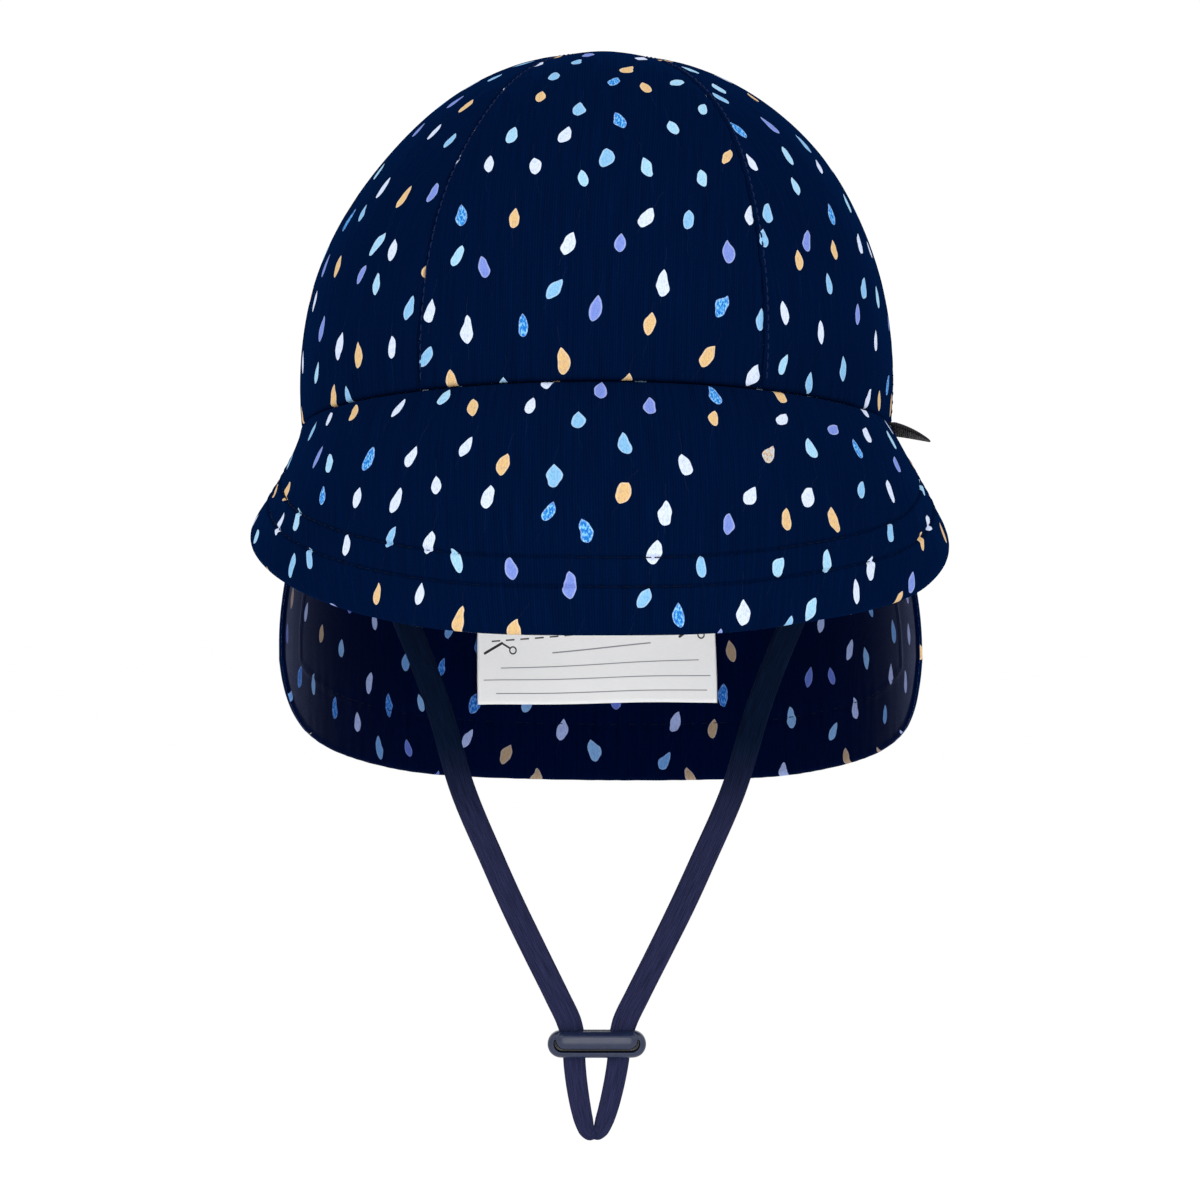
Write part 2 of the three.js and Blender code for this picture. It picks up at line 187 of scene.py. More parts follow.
def rounded(distance, radius):
    """Quarter ellipse from 0 at an edge to 1 at radius and beyond: sqrt(1 - (1 - d / r)^2)."""
    inside = np.clip(distance / radius, 0, 1)
    return np.sqrt(1 - (1 - inside) ** 2)


def softness(points, height, wavelength, seed, waves=8):
    """Slow uneven swell: height times the mean of some sines of the place along random directions."""
    rng = np.random.default_rng(seed)
    directions = rng.normal(size=(waves, 3))
    directions /= np.linalg.norm(directions, axis=1, keepdims=True)
    turns = 2 * np.pi / (wavelength * rng.uniform(0.7, 1.4, waves))
    phases = rng.uniform(0, 2 * np.pi, waves)
    return height * np.sin(points @ (directions * turns[:, None]).T + phases).mean(-1)


def grid_faces(rows, columns, ring=False, loop=False):
    """Four-cornered faces of a grid of vertices that is stored row by row. ring joins the end of each
    row to its start, and loop joins the last row to the first."""
    row = np.arange(rows if loop else rows - 1)[:, None]
    here = np.arange(columns if ring else columns - 1)
    after, above = (here + 1) % columns, (row + 1) % rows
    corners = [row * columns + here, row * columns + after, above * columns + after, above * columns + here]
    return np.stack(corners, -1).reshape(-1, 4)


def facing_out(points, faces):
    """Reverses every face of a closed mesh whose signed volume is negative."""
    a, b, c, d = (points[faces[:, k]] for k in range(4))
    volume = np.einsum("ij,ij->", a, np.cross(b, c) + np.cross(c, d))
    return faces if volume > 0 else faces[:, ::-1]


def mesh_piece(name, points, faces, flat, material, inner=None):
    """Object at the origin from points in mm and four-cornered faces. The UV map cloth_mm holds a place
    on the cloth in mm for each point, and the attribute inner is 1 on an inner side or in a groove."""
    mesh = bpy.data.meshes.new(name)
    mesh.from_pydata((points * METRES).tolist(), [], faces.tolist())
    cloth_map = mesh.uv_layers.new(name="cloth_mm")
    corners = np.empty(len(mesh.loops), dtype=np.int32)
    mesh.loops.foreach_get("vertex_index", corners)
    cloth_map.data.foreach_set("uv", flat[corners].astype(np.float32).ravel())
    # inner marks where the materials paint shade: the cloth's inner side and the slider's groove.
    if inner is not None:
        side = mesh.attributes.new("inner", "FLOAT", "POINT")
        side.data.foreach_set("value", inner.astype(np.float32))
    mesh.polygons.foreach_set("use_smooth", np.ones(len(mesh.polygons), dtype=bool))
    mesh.materials.append(material)
    mesh.update()
    piece = bpy.data.objects.new(name, mesh)
    bpy.context.collection.objects.link(piece)
    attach(piece, "root")
    return piece


def cloth_wall(name, face, back, flat, material):
    """Closed wall between two grids of points, whose edges are joined all the way round. The back is
    cut from another place in the print, and mirrored because it is seen from the other side."""
    rows, columns = face.shape[:2]
    count = rows * columns
    points = np.concatenate([face.reshape(-1, 3), back.reshape(-1, 3)])
    index = np.arange(count).reshape(rows, columns)
    edge = np.concatenate([index[0, :-1], index[:-1, -1], index[-1, :0:-1], index[:0:-1, 0]])
    after = np.roll(edge, -1)
    rim = np.stack([after, edge, edge + count, after + count], -1)
    sheet = grid_faces(rows, columns)
    faces = np.concatenate([sheet, sheet[:, ::-1] + count, rim])
    lining = flat.reshape(-1, 2) * (-1, 1) + LINING_SHIFT
    both = np.concatenate([flat.reshape(-1, 2), lining])
    inner = np.repeat([0.0, 1.0], count)
    return mesh_piece(name, points, facing_out(points, faces), both, material, inner)


def edged_steps(length, roll, fine, coarse):
    """Distances from 0 to length, with fine steps inside roll of each end and coarse steps between.
    length may be an array, and gives a row of distances for each of its values."""
    length = np.asarray(length, dtype=float)[..., None]
    margin = np.minimum(roll, length / 4)
    ends = np.linspace(0, 1, fine + 1)[:-1]
    middle = np.linspace(0, 1, coarse + 1)
    return np.concatenate(
        [margin * ends, margin + (length - 2 * margin) * middle, length - margin * ends[::-1]], -1
    )


def gore_surface(start, end):
    """Grids over a gore: azimuth, latitude, distance across it, its width there, height up it in mm, and
    height up it as a share."""
    tip_latitude = np.arccos(APEX_RADIUS / CROWN_HALF_WIDTH)
    climb = edged_steps(1.0, **GORE_ROWS)[:, None]
    latitude = RIM_LATITUDE + (tip_latitude - RIM_LATITUDE) * climb
    width = np.radians(end - start) * ring_radius((start + end) / 2) * np.cos(latitude)
    across = edged_steps(width[:, 0] - SEAM_CLEARANCE, **GORE_COLUMNS) + SEAM_CLEARANCE / 2
    azimuth = start + (end - start) * across / width
    stretch = np.hypot(CROWN_DOME_HEIGHT * np.cos(latitude), CROWN_HALF_LENGTH * np.sin(latitude))
    height = np.concatenate([[[0]], np.cumsum(np.diff(latitude, axis=0) * stretch[1:], axis=0)])
    return azimuth, latitude + 0 * azimuth, across, width + 0 * azimuth, height + 0 * azimuth, climb


def gore_lift(across, width, climb, latitude):
    """Fullness of a gore: a sine across it that fades in above the rim and out towards the apex."""
    rise = np.minimum(1, climb / BULGE_START)
    return GORE_BULGE * np.sin(np.pi * across / width) * rise * np.sqrt(np.cos(latitude))


def pucker(distance, along, seed):
    """Small gathers beside a seam: a sine along it that fades away from it."""
    drift = np.sin(2 * np.pi * along / PUCKER["drift"] + seed)
    shift = PUCKER["wander"] * drift + PUCKER["step"] * seed
    wave = np.sin(2 * np.pi * along / PUCKER["length"] + shift)
    return PUCKER["height"] * np.exp(-distance / PUCKER["reach"]) * wave


def gore(node, start, end, cut_at, material):
    """One gore: the crown's surface, full between its seams, rolled in at its seams and, outside only,
    at the rim, so that the rim's seam is closed."""
    start, end = start + SEAM_TURN, end + SEAM_TURN
    azimuth, latitude, across, width, height, climb = gore_surface(start, end)
    seam = np.minimum(across, width - across)
    inner_nose = np.maximum(rounded(seam, SEAM_ROLL), THINNEST_EDGE)
    nose = np.maximum(inner_nose * rounded(height, SEAM_ROLL), THINNEST_EDGE)
    plain = crown_point(azimuth, latitude, 0 * azimuth)
    inland = np.minimum(1, seam / SOFT_FROM_SEAM) * np.minimum(1, height / SOFT_FROM_RIM)
    swell = softness(plain, **GORE_SOFTNESS) * inland
    gathers = pucker(across, height, start) + pucker(width - across, height, end)
    gathers = gathers * rounded(height, PUCKER_FADE)
    surface = gore_lift(across, width, climb, latitude) + swell + gathers
    half = CROWN_WALL / 2
    face = as_worn(crown_point(azimuth, latitude, surface - half * (1 - nose)))
    back = as_worn(crown_point(azimuth, latitude, surface - half * (1 + inner_nose)))
    flat = np.stack([across - width / 2 + cut_at[0], height + cut_at[1]], -1)
    piece = cloth_wall(f"{node}_cloth", face, back, flat, material)
    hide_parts(node)


def linear(hex_colour):
    """Linear colour of a hexadecimal sRGB one."""
    srgb = np.array([int(hex_colour[k : k + 2], 16) for k in (0, 2, 4)]) / 255
    return (*np.where(srgb <= 0.04045, srgb / 12.92, ((srgb + 0.055) / 1.055) ** 2.4), 1.0)


class Nodes:
    """Adds linked nodes to the tree of a material or of a node group."""

    def __init__(self, tree):
        self.tree = tree

    def feed(self, socket, value):
        if isinstance(value, bpy.types.NodeSocket):
            self.tree.links.new(value, socket)
        else:
            socket.default_value = value

    def add(self, kind, inputs=(), **settings):
        node = self.tree.nodes.new(kind)
        for key, value in settings.items():
            setattr(node, key, value)
        for key, value in dict(inputs).items():
            self.feed(node.inputs[key], value)
        return node

    def group(self, tree, inputs):
        return self.add("ShaderNodeGroup", inputs, node_tree=tree).outputs

    def math(self, operation, *values, clamp=False):
        node = self.add("ShaderNodeMath", enumerate(values), operation=operation)
        node.use_clamp = clamp
        return node.outputs[0]

    def vector(self, operation, *values):
        node = self.add("ShaderNodeVectorMath", enumerate(values), operation=operation)
        return node.outputs["Vector"]

    def scaled(self, vector, factor):
        inputs = {0: vector, "Scale": factor}
        return self.add("ShaderNodeVectorMath", inputs, operation="SCALE").outputs["Vector"]

    def ramp(self, value, low, high, kind="SMOOTHSTEP"):
        inputs = {"Value": value, "From Min": low, "From Max": high}
        return self.add("ShaderNodeMapRange", inputs, interpolation_type=kind).outputs["Result"]

    def mix(self, factor, a, b, blend="MIX"):
        inputs = {0: factor, 6: a, 7: b}
        return self.add("ShaderNodeMix", inputs, data_type="RGBA", blend_type=blend).outputs[2]

    def parts(self, vector):
        return self.add("ShaderNodeSeparateXYZ", {0: vector}).outputs

    def noise(self, vector, scale, detail=2.0, output=0):
        inputs = {"Vector": vector, "Scale": scale, "Detail": detail}
        return self.add("ShaderNodeTexNoise", inputs, noise_dimensions="2D").outputs[output]

    def stretched(self, vector, x, y):
        return self.add("ShaderNodeMapping", {0: vector, "Scale": (x, y, 1)}).outputs[0]

    def hypotenuse(self, x, y):
        squares = [self.math("POWER", length, 2.0) for length in (x, y)]
        return self.math("SQRT", self.math("ADD", *squares))

    def cloth_map(self):
        return self.add("ShaderNodeUVMap", uv_map="cloth_mm").outputs[0]

    def inner_side(self):
        return self.add("ShaderNodeAttribute", attribute_name="inner").outputs["Fac"]

    def relief(self, shader, height, strength, depth):
        inputs = {"Height": height, "Strength": strength, "Distance": depth}
        self.feed(shader["Normal"], self.add("ShaderNodeBump", inputs).outputs[0])


def finish(name, roughness, specular, sheen=None):
    """New material, its node maker, and its shader's sockets with what is the same all over it."""
    material = bpy.data.materials.new(name)
    material.use_nodes = True
    shader = material.node_tree.nodes["Principled BSDF"].inputs
    shader["Roughness"].default_value = roughness
    shader["Specular IOR Level"].default_value = specular
    if sheen:
        shader["Sheen Weight"].default_value = sheen["weight"]
        shader["Sheen Roughness"].default_value = sheen["roughness"]
        shader["Sheen Tint"].default_value = linear(sheen["tint"])
    return material, Nodes(material.node_tree), shader


def node_group(name, inputs, outputs):
    """Empty shader node group with named sockets, as a tree, a node maker, and its own two ends."""
    tree = bpy.data.node_groups.new(name, "ShaderNodeTree")
    for socket, (kind, default) in inputs.items():
        made = tree.interface.new_socket(socket, in_out="INPUT", socket_type=kind)
        if default is not None:
            made.default_value = default
    for socket, kind in outputs.items():
        tree.interface.new_socket(socket, in_out="OUTPUT", socket_type=kind)
    entry = tree.nodes.new("NodeGroupInput")
    leave = tree.nodes.new("NodeGroupOutput")
    return tree, Nodes(tree), entry.outputs, leave.inputs


def jersey_group():
    """Single jersey. Height is the arc |sin| of each upright wale, crossed by slanted stitches that lean
    out from its middle, and Tone is a little uneven light and shade along the wales."""
    inputs = {
        "Cloth": ("NodeSocketVector", None),
        "Wale": ("NodeSocketFloat", 0.62),
        "Course": ("NodeSocketFloat", 0.5),
    }
    outputs = {"Height": "NodeSocketFloat", "Tone": "NodeSocketFloat"}
    tree, n, given, made = node_group("jersey", inputs, outputs)
    place = n.parts(given["Cloth"])
    within = n.math("FRACT", n.math("DIVIDE", place[0], given["Wale"]))
    off_middle = n.math("ABSOLUTE", n.math("SUBTRACT", within, 0.5))
    arc = n.math("SINE", n.math("MULTIPLY", within, np.pi))
    slant = n.math("MULTIPLY_ADD", off_middle, 1.1, n.math("DIVIDE", place[1], given["Course"]))
    loops = n.math("ABSOLUTE", n.math("SINE", n.math("MULTIPLY", slant, np.pi)))
    n.feed(made["Height"], n.math("MULTIPLY", arc, n.math("MULTIPLY_ADD", loops, 0.45, 0.55)))
    streak = n.noise(n.stretched(given["Cloth"], 1.4, 0.05), 1.0)
    fuzz = n.noise(given["Cloth"], 1.9, 3.0)
    uneven = n.math("MULTIPLY_ADD", streak, 0.5, n.math("MULTIPLY", fuzz, 0.28))
    n.feed(made["Tone"], n.math("MULTIPLY_ADD", arc, 0.24, uneven))
    return tree


DROP = {"spacing": 12.9, "scatter": 0.5, "length": 5.9, "half_width": 1.48, "bend": 1.5}
DROP_LEAN = {"most_left": 18, "most_right": -34}
LATTICE_TURN = 21
BELLY_POWER = 0.6
POINT_POWER = 0.85
DROP_INKS = [
    {"upto": 0.27, "ink": "D3DBEE"},
    {"upto": 0.43, "ink": "86B9DC"},
    {"upto": 0.57, "ink": "A1CDE4"},
    {"upto": 0.73, "ink": "7A8CD0"},
    {"upto": 0.92, "ink": "DFB77C"},
    {"upto": 1.0, "ink": "2A84D2"},
]
SPECKLED_FROM = 0.92


def teardrop_group():
    """For each point of a turned and jittered lattice, a leaning drop whose half width at a share t of
    its length is k * t^BELLY_POWER * (1 - t)^POINT_POWER, bent a little by slow noise. Mask is 1 inside,
    Rim is 1 near the outline, and Ink is the drop's colour, thinned where the ink sank between the
    wales. The last ink is speckled light and dark."""
    inputs = {"Cloth": ("NodeSocketVector", None)}
    outputs = {"Mask": "NodeSocketFloat", "Rim": "NodeSocketFloat", "Ink": "NodeSocketColor"}
    tree, n, given, made = node_group("teardrops", inputs, outputs)
    turn = (0, 0, np.radians(LATTICE_TURN))
    turned = n.add("ShaderNodeMapping", {0: given["Cloth"], "Rotation": turn}).outputs[0]
    lattice = n.scaled(turned, 1 / DROP["spacing"])
    cell_inputs = {"Vector": lattice, "Scale": 1.0, "Randomness": DROP["scatter"]}
    cell = n.add("ShaderNodeTexVoronoi", cell_inputs, voronoi_dimensions="2D")
    chance = n.parts(cell.outputs["Color"])
    off_centre = n.vector("SUBTRACT", lattice, cell.outputs["Position"])
    from_centre = n.scaled(off_centre, DROP["spacing"])
    swing = np.radians(DROP_LEAN["most_left"] - DROP_LEAN["most_right"])
    upright = -np.radians(LATTICE_TURN + DROP_LEAN["most_left"])
    angle = n.math("MULTIPLY_ADD", chance[0], swing, upright)
    own_inputs = {"Vector": from_centre, "Angle": angle}
    own = n.add("ShaderNodeVectorRotate", own_inputs, rotation_type="Z_AXIS").outputs[0]
    sized = n.scaled(own, n.math("MULTIPLY_ADD", chance[1], 0.24, 0.9))
    bent = n.vector("SUBTRACT", n.noise(given["Cloth"], 0.21, 1.0, 1), (0.5, 0.5, 0.5))
    drop = n.parts(n.vector("ADD", sized, n.scaled(bent, DROP["bend"])))
    share = n.math("ADD", n.math("DIVIDE", drop[1], DROP["length"]), 0.5, clamp=True)
    belly = n.math("POWER", share, BELLY_POWER)
    point = n.math("POWER", n.math("SUBTRACT", 1.0, share), POINT_POWER)
    widest = BELLY_POWER / (BELLY_POWER + POINT_POWER)
    fullest = widest**BELLY_POWER * (1 - widest) ** POINT_POWER
    half = n.math("MULTIPLY", n.math("MULTIPLY", belly, point), DROP["half_width"] / fullest)
    inside = n.math("SUBTRACT", half, n.math("ABSOLUTE", drop[0]))
    n.feed(made["Mask"], n.ramp(inside, -0.02, 0.12))
    n.feed(made["Rim"], n.math("SUBTRACT", 1.0, n.ramp(inside, 0.15, 0.55)))
    inks = n.add("ShaderNodeValToRGB", {0: chance[2]})
    inks.color_ramp.interpolation = "CONSTANT"
    stops = inks.color_ramp.elements
    stops[0].color = linear(DROP_INKS[0]["ink"])
    stops[1].position = DROP_INKS[0]["upto"]
    stops[1].color = linear(DROP_INKS[1]["ink"])
    for below, ink in zip(DROP_INKS[1:], DROP_INKS[2:]):
        stops.new(below["upto"]).color = linear(ink["ink"])
    mottle = n.noise(n.stretched(given["Cloth"], 2.4, 1.1), 1.0, 2.0)
    speckled = n.math("GREATER_THAN", chance[2], SPECKLED_FROM)
    thin = n.math("MULTIPLY", n.ramp(mottle, 0.5, 0.62), n.math("MULTIPLY_ADD", speckled, 0.35, 0.18))
    thick = n.math("MULTIPLY", n.ramp(mottle, 0.5, 0.38), n.math("MULTIPLY", speckled, 0.8))
    sunk = n.mix(thin, inks.outputs["Color"], linear("1B4FA0"))
    n.feed(made["Ink"], n.mix(thick, sunk, linear("8CC8EE")))
    return tree


JERSEY = jersey_group()
TEARDROPS = teardrop_group()
NAVY = linear("010A21")
NAVY_LIT = linear("011336")
INK_SHADE = (0.8, 0.86, 0.93, 1)


def jersey_material(name, inner_shade, sheen):
    """Printed jersey that reads its piece's cloth_mm map. On the inner side, where the cloth is its own
    lining, the print and the cloth are darkened by inner_shade, a painted shade for the hat's shaded inside."""
    material, n, shader = finish(name, 0.95, 0.0, sheen)
    cloth = n.cloth_map()
    knit = n.group(JERSEY, {"Cloth": cloth})
    drops = n.group(TEARDROPS, {"Cloth": cloth})
    ground = n.mix(n.ramp(knit["Tone"], 0.25, 0.85, "LINEAR"), NAVY, NAVY_LIT)
    # The print is darkened by INK_SHADE where the knit's Tone is low: partly uneven streaks of the ink,
    # partly painted shade between the wales.
    ink_streaks_and_shade = n.mix(n.ramp(knit["Tone"], 0.2, 0.9, "LINEAR"), INK_SHADE, (1, 1, 1, 1))
    ink = n.mix(1.0, drops["Ink"], ink_streaks_and_shade, "MULTIPLY")
    rimmed = n.mix(n.math("MULTIPLY", drops["Rim"], 0.16), ink, linear("F2F6FF"))
    printed = n.mix(drops["Mask"], ground, rimmed)
    # Painted shade: the inner side is multiplied by inner_shade to stand for the shade inside the hat.
    inner_painted_shade = n.mix(1.0, printed, linear(inner_shade), "MULTIPLY")
    n.feed(shader["Base Color"], n.mix(n.inner_side(), printed, inner_painted_shade))
    n.relief(shader, knit["Height"], 0.3, 0.0002)
    return material


OUTER_SHEEN = {"weight": 0.07, "roughness": 0.3, "tint": "1B62C8"}
# B0B0B0 is painted shade on the crown's inside and the peak's underside.
printed_jersey = jersey_material("printed_jersey", "B0B0B0", OUTER_SHEEN)
for row in GORES:
    gore(**row, material=printed_jersey)


# Crown stitching: a row of short navy stitches beside each seam, through the cloth and its seam
# allowance. Each stitch arches out of the jersey and sinks in again.
SEAM_STITCH = {"spacing": 2.3, "length": 1.8, "radius": 0.2}
STITCH_RINGS = 5
STITCH_SIDES = 6
SEAM_STITCH_OFFSET = 0.95
SEAM_STITCH_START = 1.2
SEAM_STITCH_END = 1.38
STITCH_ARCH = 1.5
STITCH_SINK = 0.9
GORE_TURN = 60
THREAD_TWIST = 14.0


def thread_material(name, twist_shade, light):
    """Navy sewing thread near the cloth's own tone, with its twist as slanted ridges whose tops get the
    light colour, a painted highlight, and whose hollows get the dark one, painted shade.
    """
    material, n, shader = finish(name, 0.8, 0.1)
    place = n.parts(n.cloth_map())
    twist = n.math("SINE", n.math("MULTIPLY", n.math("ADD", place[0], place[1]), THREAD_TWIST))
    # Painted highlight and shade: twist_shade in the twist's hollows, the light colour on its tops.
    n.feed(shader["Base Color"], n.mix(n.ramp(twist, -1, 1), linear(twist_shade), linear(light)))
    n.relief(shader, twist, 0.5, 0.0001)
    return material


def stitched(name, lines, stitch, material):
    """One small arched tube for each stitch along lines of points and normals. At a share t of its
    length the tube's middle stands STITCH_ARCH * sin(pi t) - STITCH_SINK radii above the cloth."""
    share = np.linspace(0, 1, STITCH_RINGS)
    turn = np.linspace(0, 2 * np.pi, STITCH_SIDES, endpoint=False)[:, None]
    radius = stitch["radius"]
    rings = []
    for points, normals in lines:
        run = np.append(0, np.cumsum(np.linalg.norm(np.diff(points, axis=0), axis=1)))
        starts = np.arange(stitch["spacing"] / 2, run[-1] - stitch["length"], stitch["spacing"])
        at = starts[:, None] + share * stitch["length"]
        tangents = np.gradient(points, run, axis=0)
        centre, normal, tangent = (
            np.stack([np.interp(at, run, values[:, k]) for k in range(3)], -1)
            for values in (points, normals, tangents)
        )
        normal = normal / np.linalg.norm(normal, axis=-1, keepdims=True)
        side = np.cross(tangent, normal)
        height = radius * (STITCH_ARCH * np.sin(np.pi * share) - STITCH_SINK)
        centre = centre + normal * height[:, None]
        spokes = normal[:, :, None] * np.cos(turn) + side[:, :, None] * np.sin(turn)
        rings.append(centre[:, :, None] + radius * spokes)
    rings = np.concatenate(rings)
    first = np.arange(len(rings))[:, None, None] * STITCH_RINGS * STITCH_SIDES
    tube = grid_faces(STITCH_RINGS, STITCH_SIDES, ring=True)
    cap = np.array([[3, 2, 1, 0], [5, 4, 3, 0]])
    far_cap = cap[:, ::-1] + (STITCH_RINGS - 1) * STITCH_SIDES
    faces = (first + np.concatenate([tube, cap, far_cap])).reshape(-1, 4)
    points = rings.reshape(-1, 3)
    along = np.tile(np.repeat(share * stitch["length"], STITCH_SIDES), len(rings))
    around = np.tile(turn[:, 0] * radius, len(rings) * STITCH_RINGS)
    flat = np.stack([along, around], -1)
    return mesh_piece(name, points, facing_out(points, faces), flat, material)


def seam_line(azimuth):
    """Points and normals up the crown beside a seam, SEAM_STITCH_OFFSET from it."""
    climb = np.linspace(0, 1, 90)
    start = RIM_LATITUDE + SEAM_STITCH_START / CROWN_DOME_HEIGHT
    latitude = start + (SEAM_STITCH_END - start) * climb
    length = ring_radius(azimuth) * np.cos(latitude)
    beside = azimuth + np.degrees(SEAM_STITCH_OFFSET / length)
    width = np.radians(GORE_TURN) * length
    lift = gore_lift(SEAM_STITCH_OFFSET, width, climb, latitude)
    low = as_worn(crown_point(beside, latitude, lift))
    high = as_worn(crown_point(beside, latitude, lift + 1))
    return low, high - low


seams = [seam_line(row["start"] + SEAM_TURN) for row in GORES]
stitched("seam_stitches", seams, SEAM_STITCH, thread_material("seam_thread", "01061A", "14295C"))


# Peak: two layers of the printed jersey over a soft pad, sewn into the crown's rim. Two rows of topstitch
# run round it 18 and 11 mm inside its rolled edge and draw the cloth down into thin tucks.
PEAK_REACH = 67.5
PEAK_END = 96.0
PEAK_PAD = 3.1
PEAK_ROLL = 2.4
PEAK_COLUMNS = 280
HANG_OFFSET = 0.9
TUCKS = [18.0, 11.0]
TUCK = {"depth": 0.8, "width": 0.45, "shoulder": 2.2, "raised": 0.45, "shallow": 30.0}
TOPSTITCH = {"spacing": 2.9, "length": 2.2, "radius": 0.12}
SEAM_GAP = 0.06
ROOT_ROUND = 1.5
NIP = {"left": 1.4, "right": 3.0, "from": 45, "over": 35, "fade": 0.06, "power": 0.9}
SAG = {"depth": 3.0, "from": 25, "over": 35, "fade": 0.25, "power": 1.5}
PEAK_FULLNESS = 0.5
FULL_OVER = 48.0
PEAK_SOFTNESS = {"height": 0.5, "wavelength": 40, "seed": 11}
UNDERSIDE_SWELL = 0.6
EDGE_PER_RIM = 1.3
PEAK_STEPS = {"edge": 9, "tucks": 84, "tucked_to": 24, "shallow": 32, "root": 41, "closing": 1.6}
PEAK_FLAT_RADIUS = 157.0
PEAK_CUT_AT = (60, 190)


def table(names, *rows):
    """Columns of a table by their names, from its rows."""
    return dict(zip(names.split(), np.array(rows, dtype=float).T))


PEAK_SECTIONS = table(
    "along reach root_slope edge_slope",
    (0.0, 0.05, 58, 58.5),
    (0.04, 0.17, 56, 62),
    (0.11, 0.32, 54, 68),
    (0.22, 0.495, 51, 74),
    (0.38, 0.665, 51, 82),
    (0.53, 0.795, 51, 87),
    (0.69, 0.91, 50, 87),
    (0.84, 0.988, 48, 86),
    (1.0, 1.013, 47, 85),
)


def column(sections, name, at):
    """Cubic Hermite curve through a column of a table, with central slopes, level at the last row."""
    along, value = sections["along"], sections[name]
    row, last = np.arange(len(along)), len(along) - 1
    ahead, behind = np.minimum(row + 1, last), np.maximum(row - 1, 0)
    slope = (value[ahead] - value[behind]) / (along[ahead] - along[behind])
    slope[-1] = 0
    upper = np.clip(np.searchsorted(along, at), 1, last)
    lower = upper - 1
    span = along[upper] - along[lower]
    t = np.clip((at - along[lower]) / span, 0, 1)
    blend = t * t * (3 - 2 * t)
    bend = (1 - t) ** 2 * t * span * slope[lower] - (1 - t) * t**2 * span * slope[upper]
    return value[lower] + (value[upper] - value[lower]) * blend + bend


def outward(azimuth):
    """Direction square to the rim in its plane: (sin / a, -cos / b, 0), made a unit long."""
    turn = np.radians(azimuth)
    direction = np.stack([np.sin(turn) / CROWN_HALF_WIDTH, -np.cos(turn) / CROWN_HALF_LENGTH, 0 * turn], -1)
    return direction / np.linalg.norm(direction, axis=-1, keepdims=True)


def peak_reach(azimuth):
    """How far the peak comes out from its seam, measured over its top."""
    return PEAK_REACH * column(PEAK_SECTIONS, "reach", np.maximum(0, 1 - np.abs(azimuth) / PEAK_END))


def smooth_step(t):
    """Rises from 0 to 1 with level ends: 3 t^2 - 2 t^3."""
    t = np.clip(t, 0, 1)
    return t * t * (3 - 2 * t)


def peak_point(azimuth, share, lift):
    """Peak before it is tipped as worn. Its section is an arc whose slope goes evenly from the root's to
    the edge's, so it reaches forward by the integral of the slope's cosine and down by its sine's. Both
    sides are nipped in by a sine below the seam, and the wearer's left side sags. lift is square to the
    slope, and turns level at the root so that the peak meets the crown edge to edge."""
    along = np.maximum(0, 1 - np.abs(azimuth) / PEAK_END)
    reach = peak_reach(azimuth)
    root = np.radians(column(PEAK_SECTIONS, "root_slope", along))
    bend = np.radians(column(PEAK_SECTIONS, "edge_slope", along)) - root
    slope = root + bend * share
    forward = reach * (np.sin(slope) - np.sin(root)) / bend
    down = reach * (np.cos(root) - np.cos(slope)) / bend
    nip = np.where(azimuth > 0, NIP["left"], NIP["right"])
    nip = nip * smooth_step((np.abs(azimuth) - NIP["from"]) / NIP["over"])
    forward = forward - nip * smooth_step(along / NIP["fade"]) * np.sin(np.pi * share ** NIP["power"])
    side = smooth_step((azimuth - SAG["from"]) / SAG["over"]) * smooth_step(along / SAG["fade"])
    sag = SAG["depth"] * side * share ** SAG["power"]
    lifted = slope + (np.pi / 2 - slope) * np.exp(-share * reach / ROOT_ROUND)
    rim = crown_point(azimuth, RIM_LATITUDE, 0 * azimuth)
    points = rim + outward(azimuth) * (forward + lift * np.sin(lifted))[..., None]
    points[..., 0] += HANG_OFFSET * share
    points[..., 2] -= SEAM_GAP + down + sag - lift * np.cos(lifted)
    return points


def from_edge_steps(reach):
    """Distances from the peak's edge to its root: close together at the edge and over the tucks, then
    wider, and close again at the root. Where the peak is shallow they are all drawn together."""
    edge = PEAK_ROLL * (1 - np.cos(np.linspace(0, np.pi / 2, PEAK_STEPS["edge"])))
    tucked = np.linspace(PEAK_ROLL, PEAK_STEPS["tucked_to"], PEAK_STEPS["tucks"])[1:]
    near = np.concatenate([edge, tucked]) * np.minimum(1, reach / PEAK_STEPS["shallow"])[..., None]
    rest = 1 - (1 - np.linspace(0, 1, PEAK_STEPS["root"])[1:]) ** PEAK_STEPS["closing"]
    last = near[..., -1:]
    return np.concatenate([near, last + (reach[..., None] - last) * rest], -1)


def tuck_lift(from_edge, reach):
    """A narrow groove on each topstitch row, with the padding standing up a little on both sides."""
    total = 0 * from_edge
    for tuck in TUCKS:
        away = from_edge - tuck
        total += TUCK["raised"] * TUCK["depth"] * np.exp(-((away / TUCK["shoulder"]) ** 2))
        total -= TUCK["depth"] * np.exp(-((away / TUCK["width"]) ** 2))
    return total * np.minimum(1, reach / TUCK["shallow"])


def peak_flat(azimuth, from_root):
    """Place on the flat crescent that the peak is cut as: polar about a centre behind its seam."""
    ring = np.linspace(-PEAK_END, PEAK_END, 400)
    arc = np.cumsum(np.radians(np.gradient(ring)) * ring_radius(ring))
    turn = np.interp(azimuth, ring, arc - arc.mean()) / PEAK_FLAT_RADIUS
    radius = PEAK_FLAT_RADIUS + from_root
    across = radius * np.sin(turn) + PEAK_CUT_AT[0]
    up = PEAK_FLAT_RADIUS - radius * np.cos(turn) + PEAK_CUT_AT[1]
    return np.stack([across, up], -1)


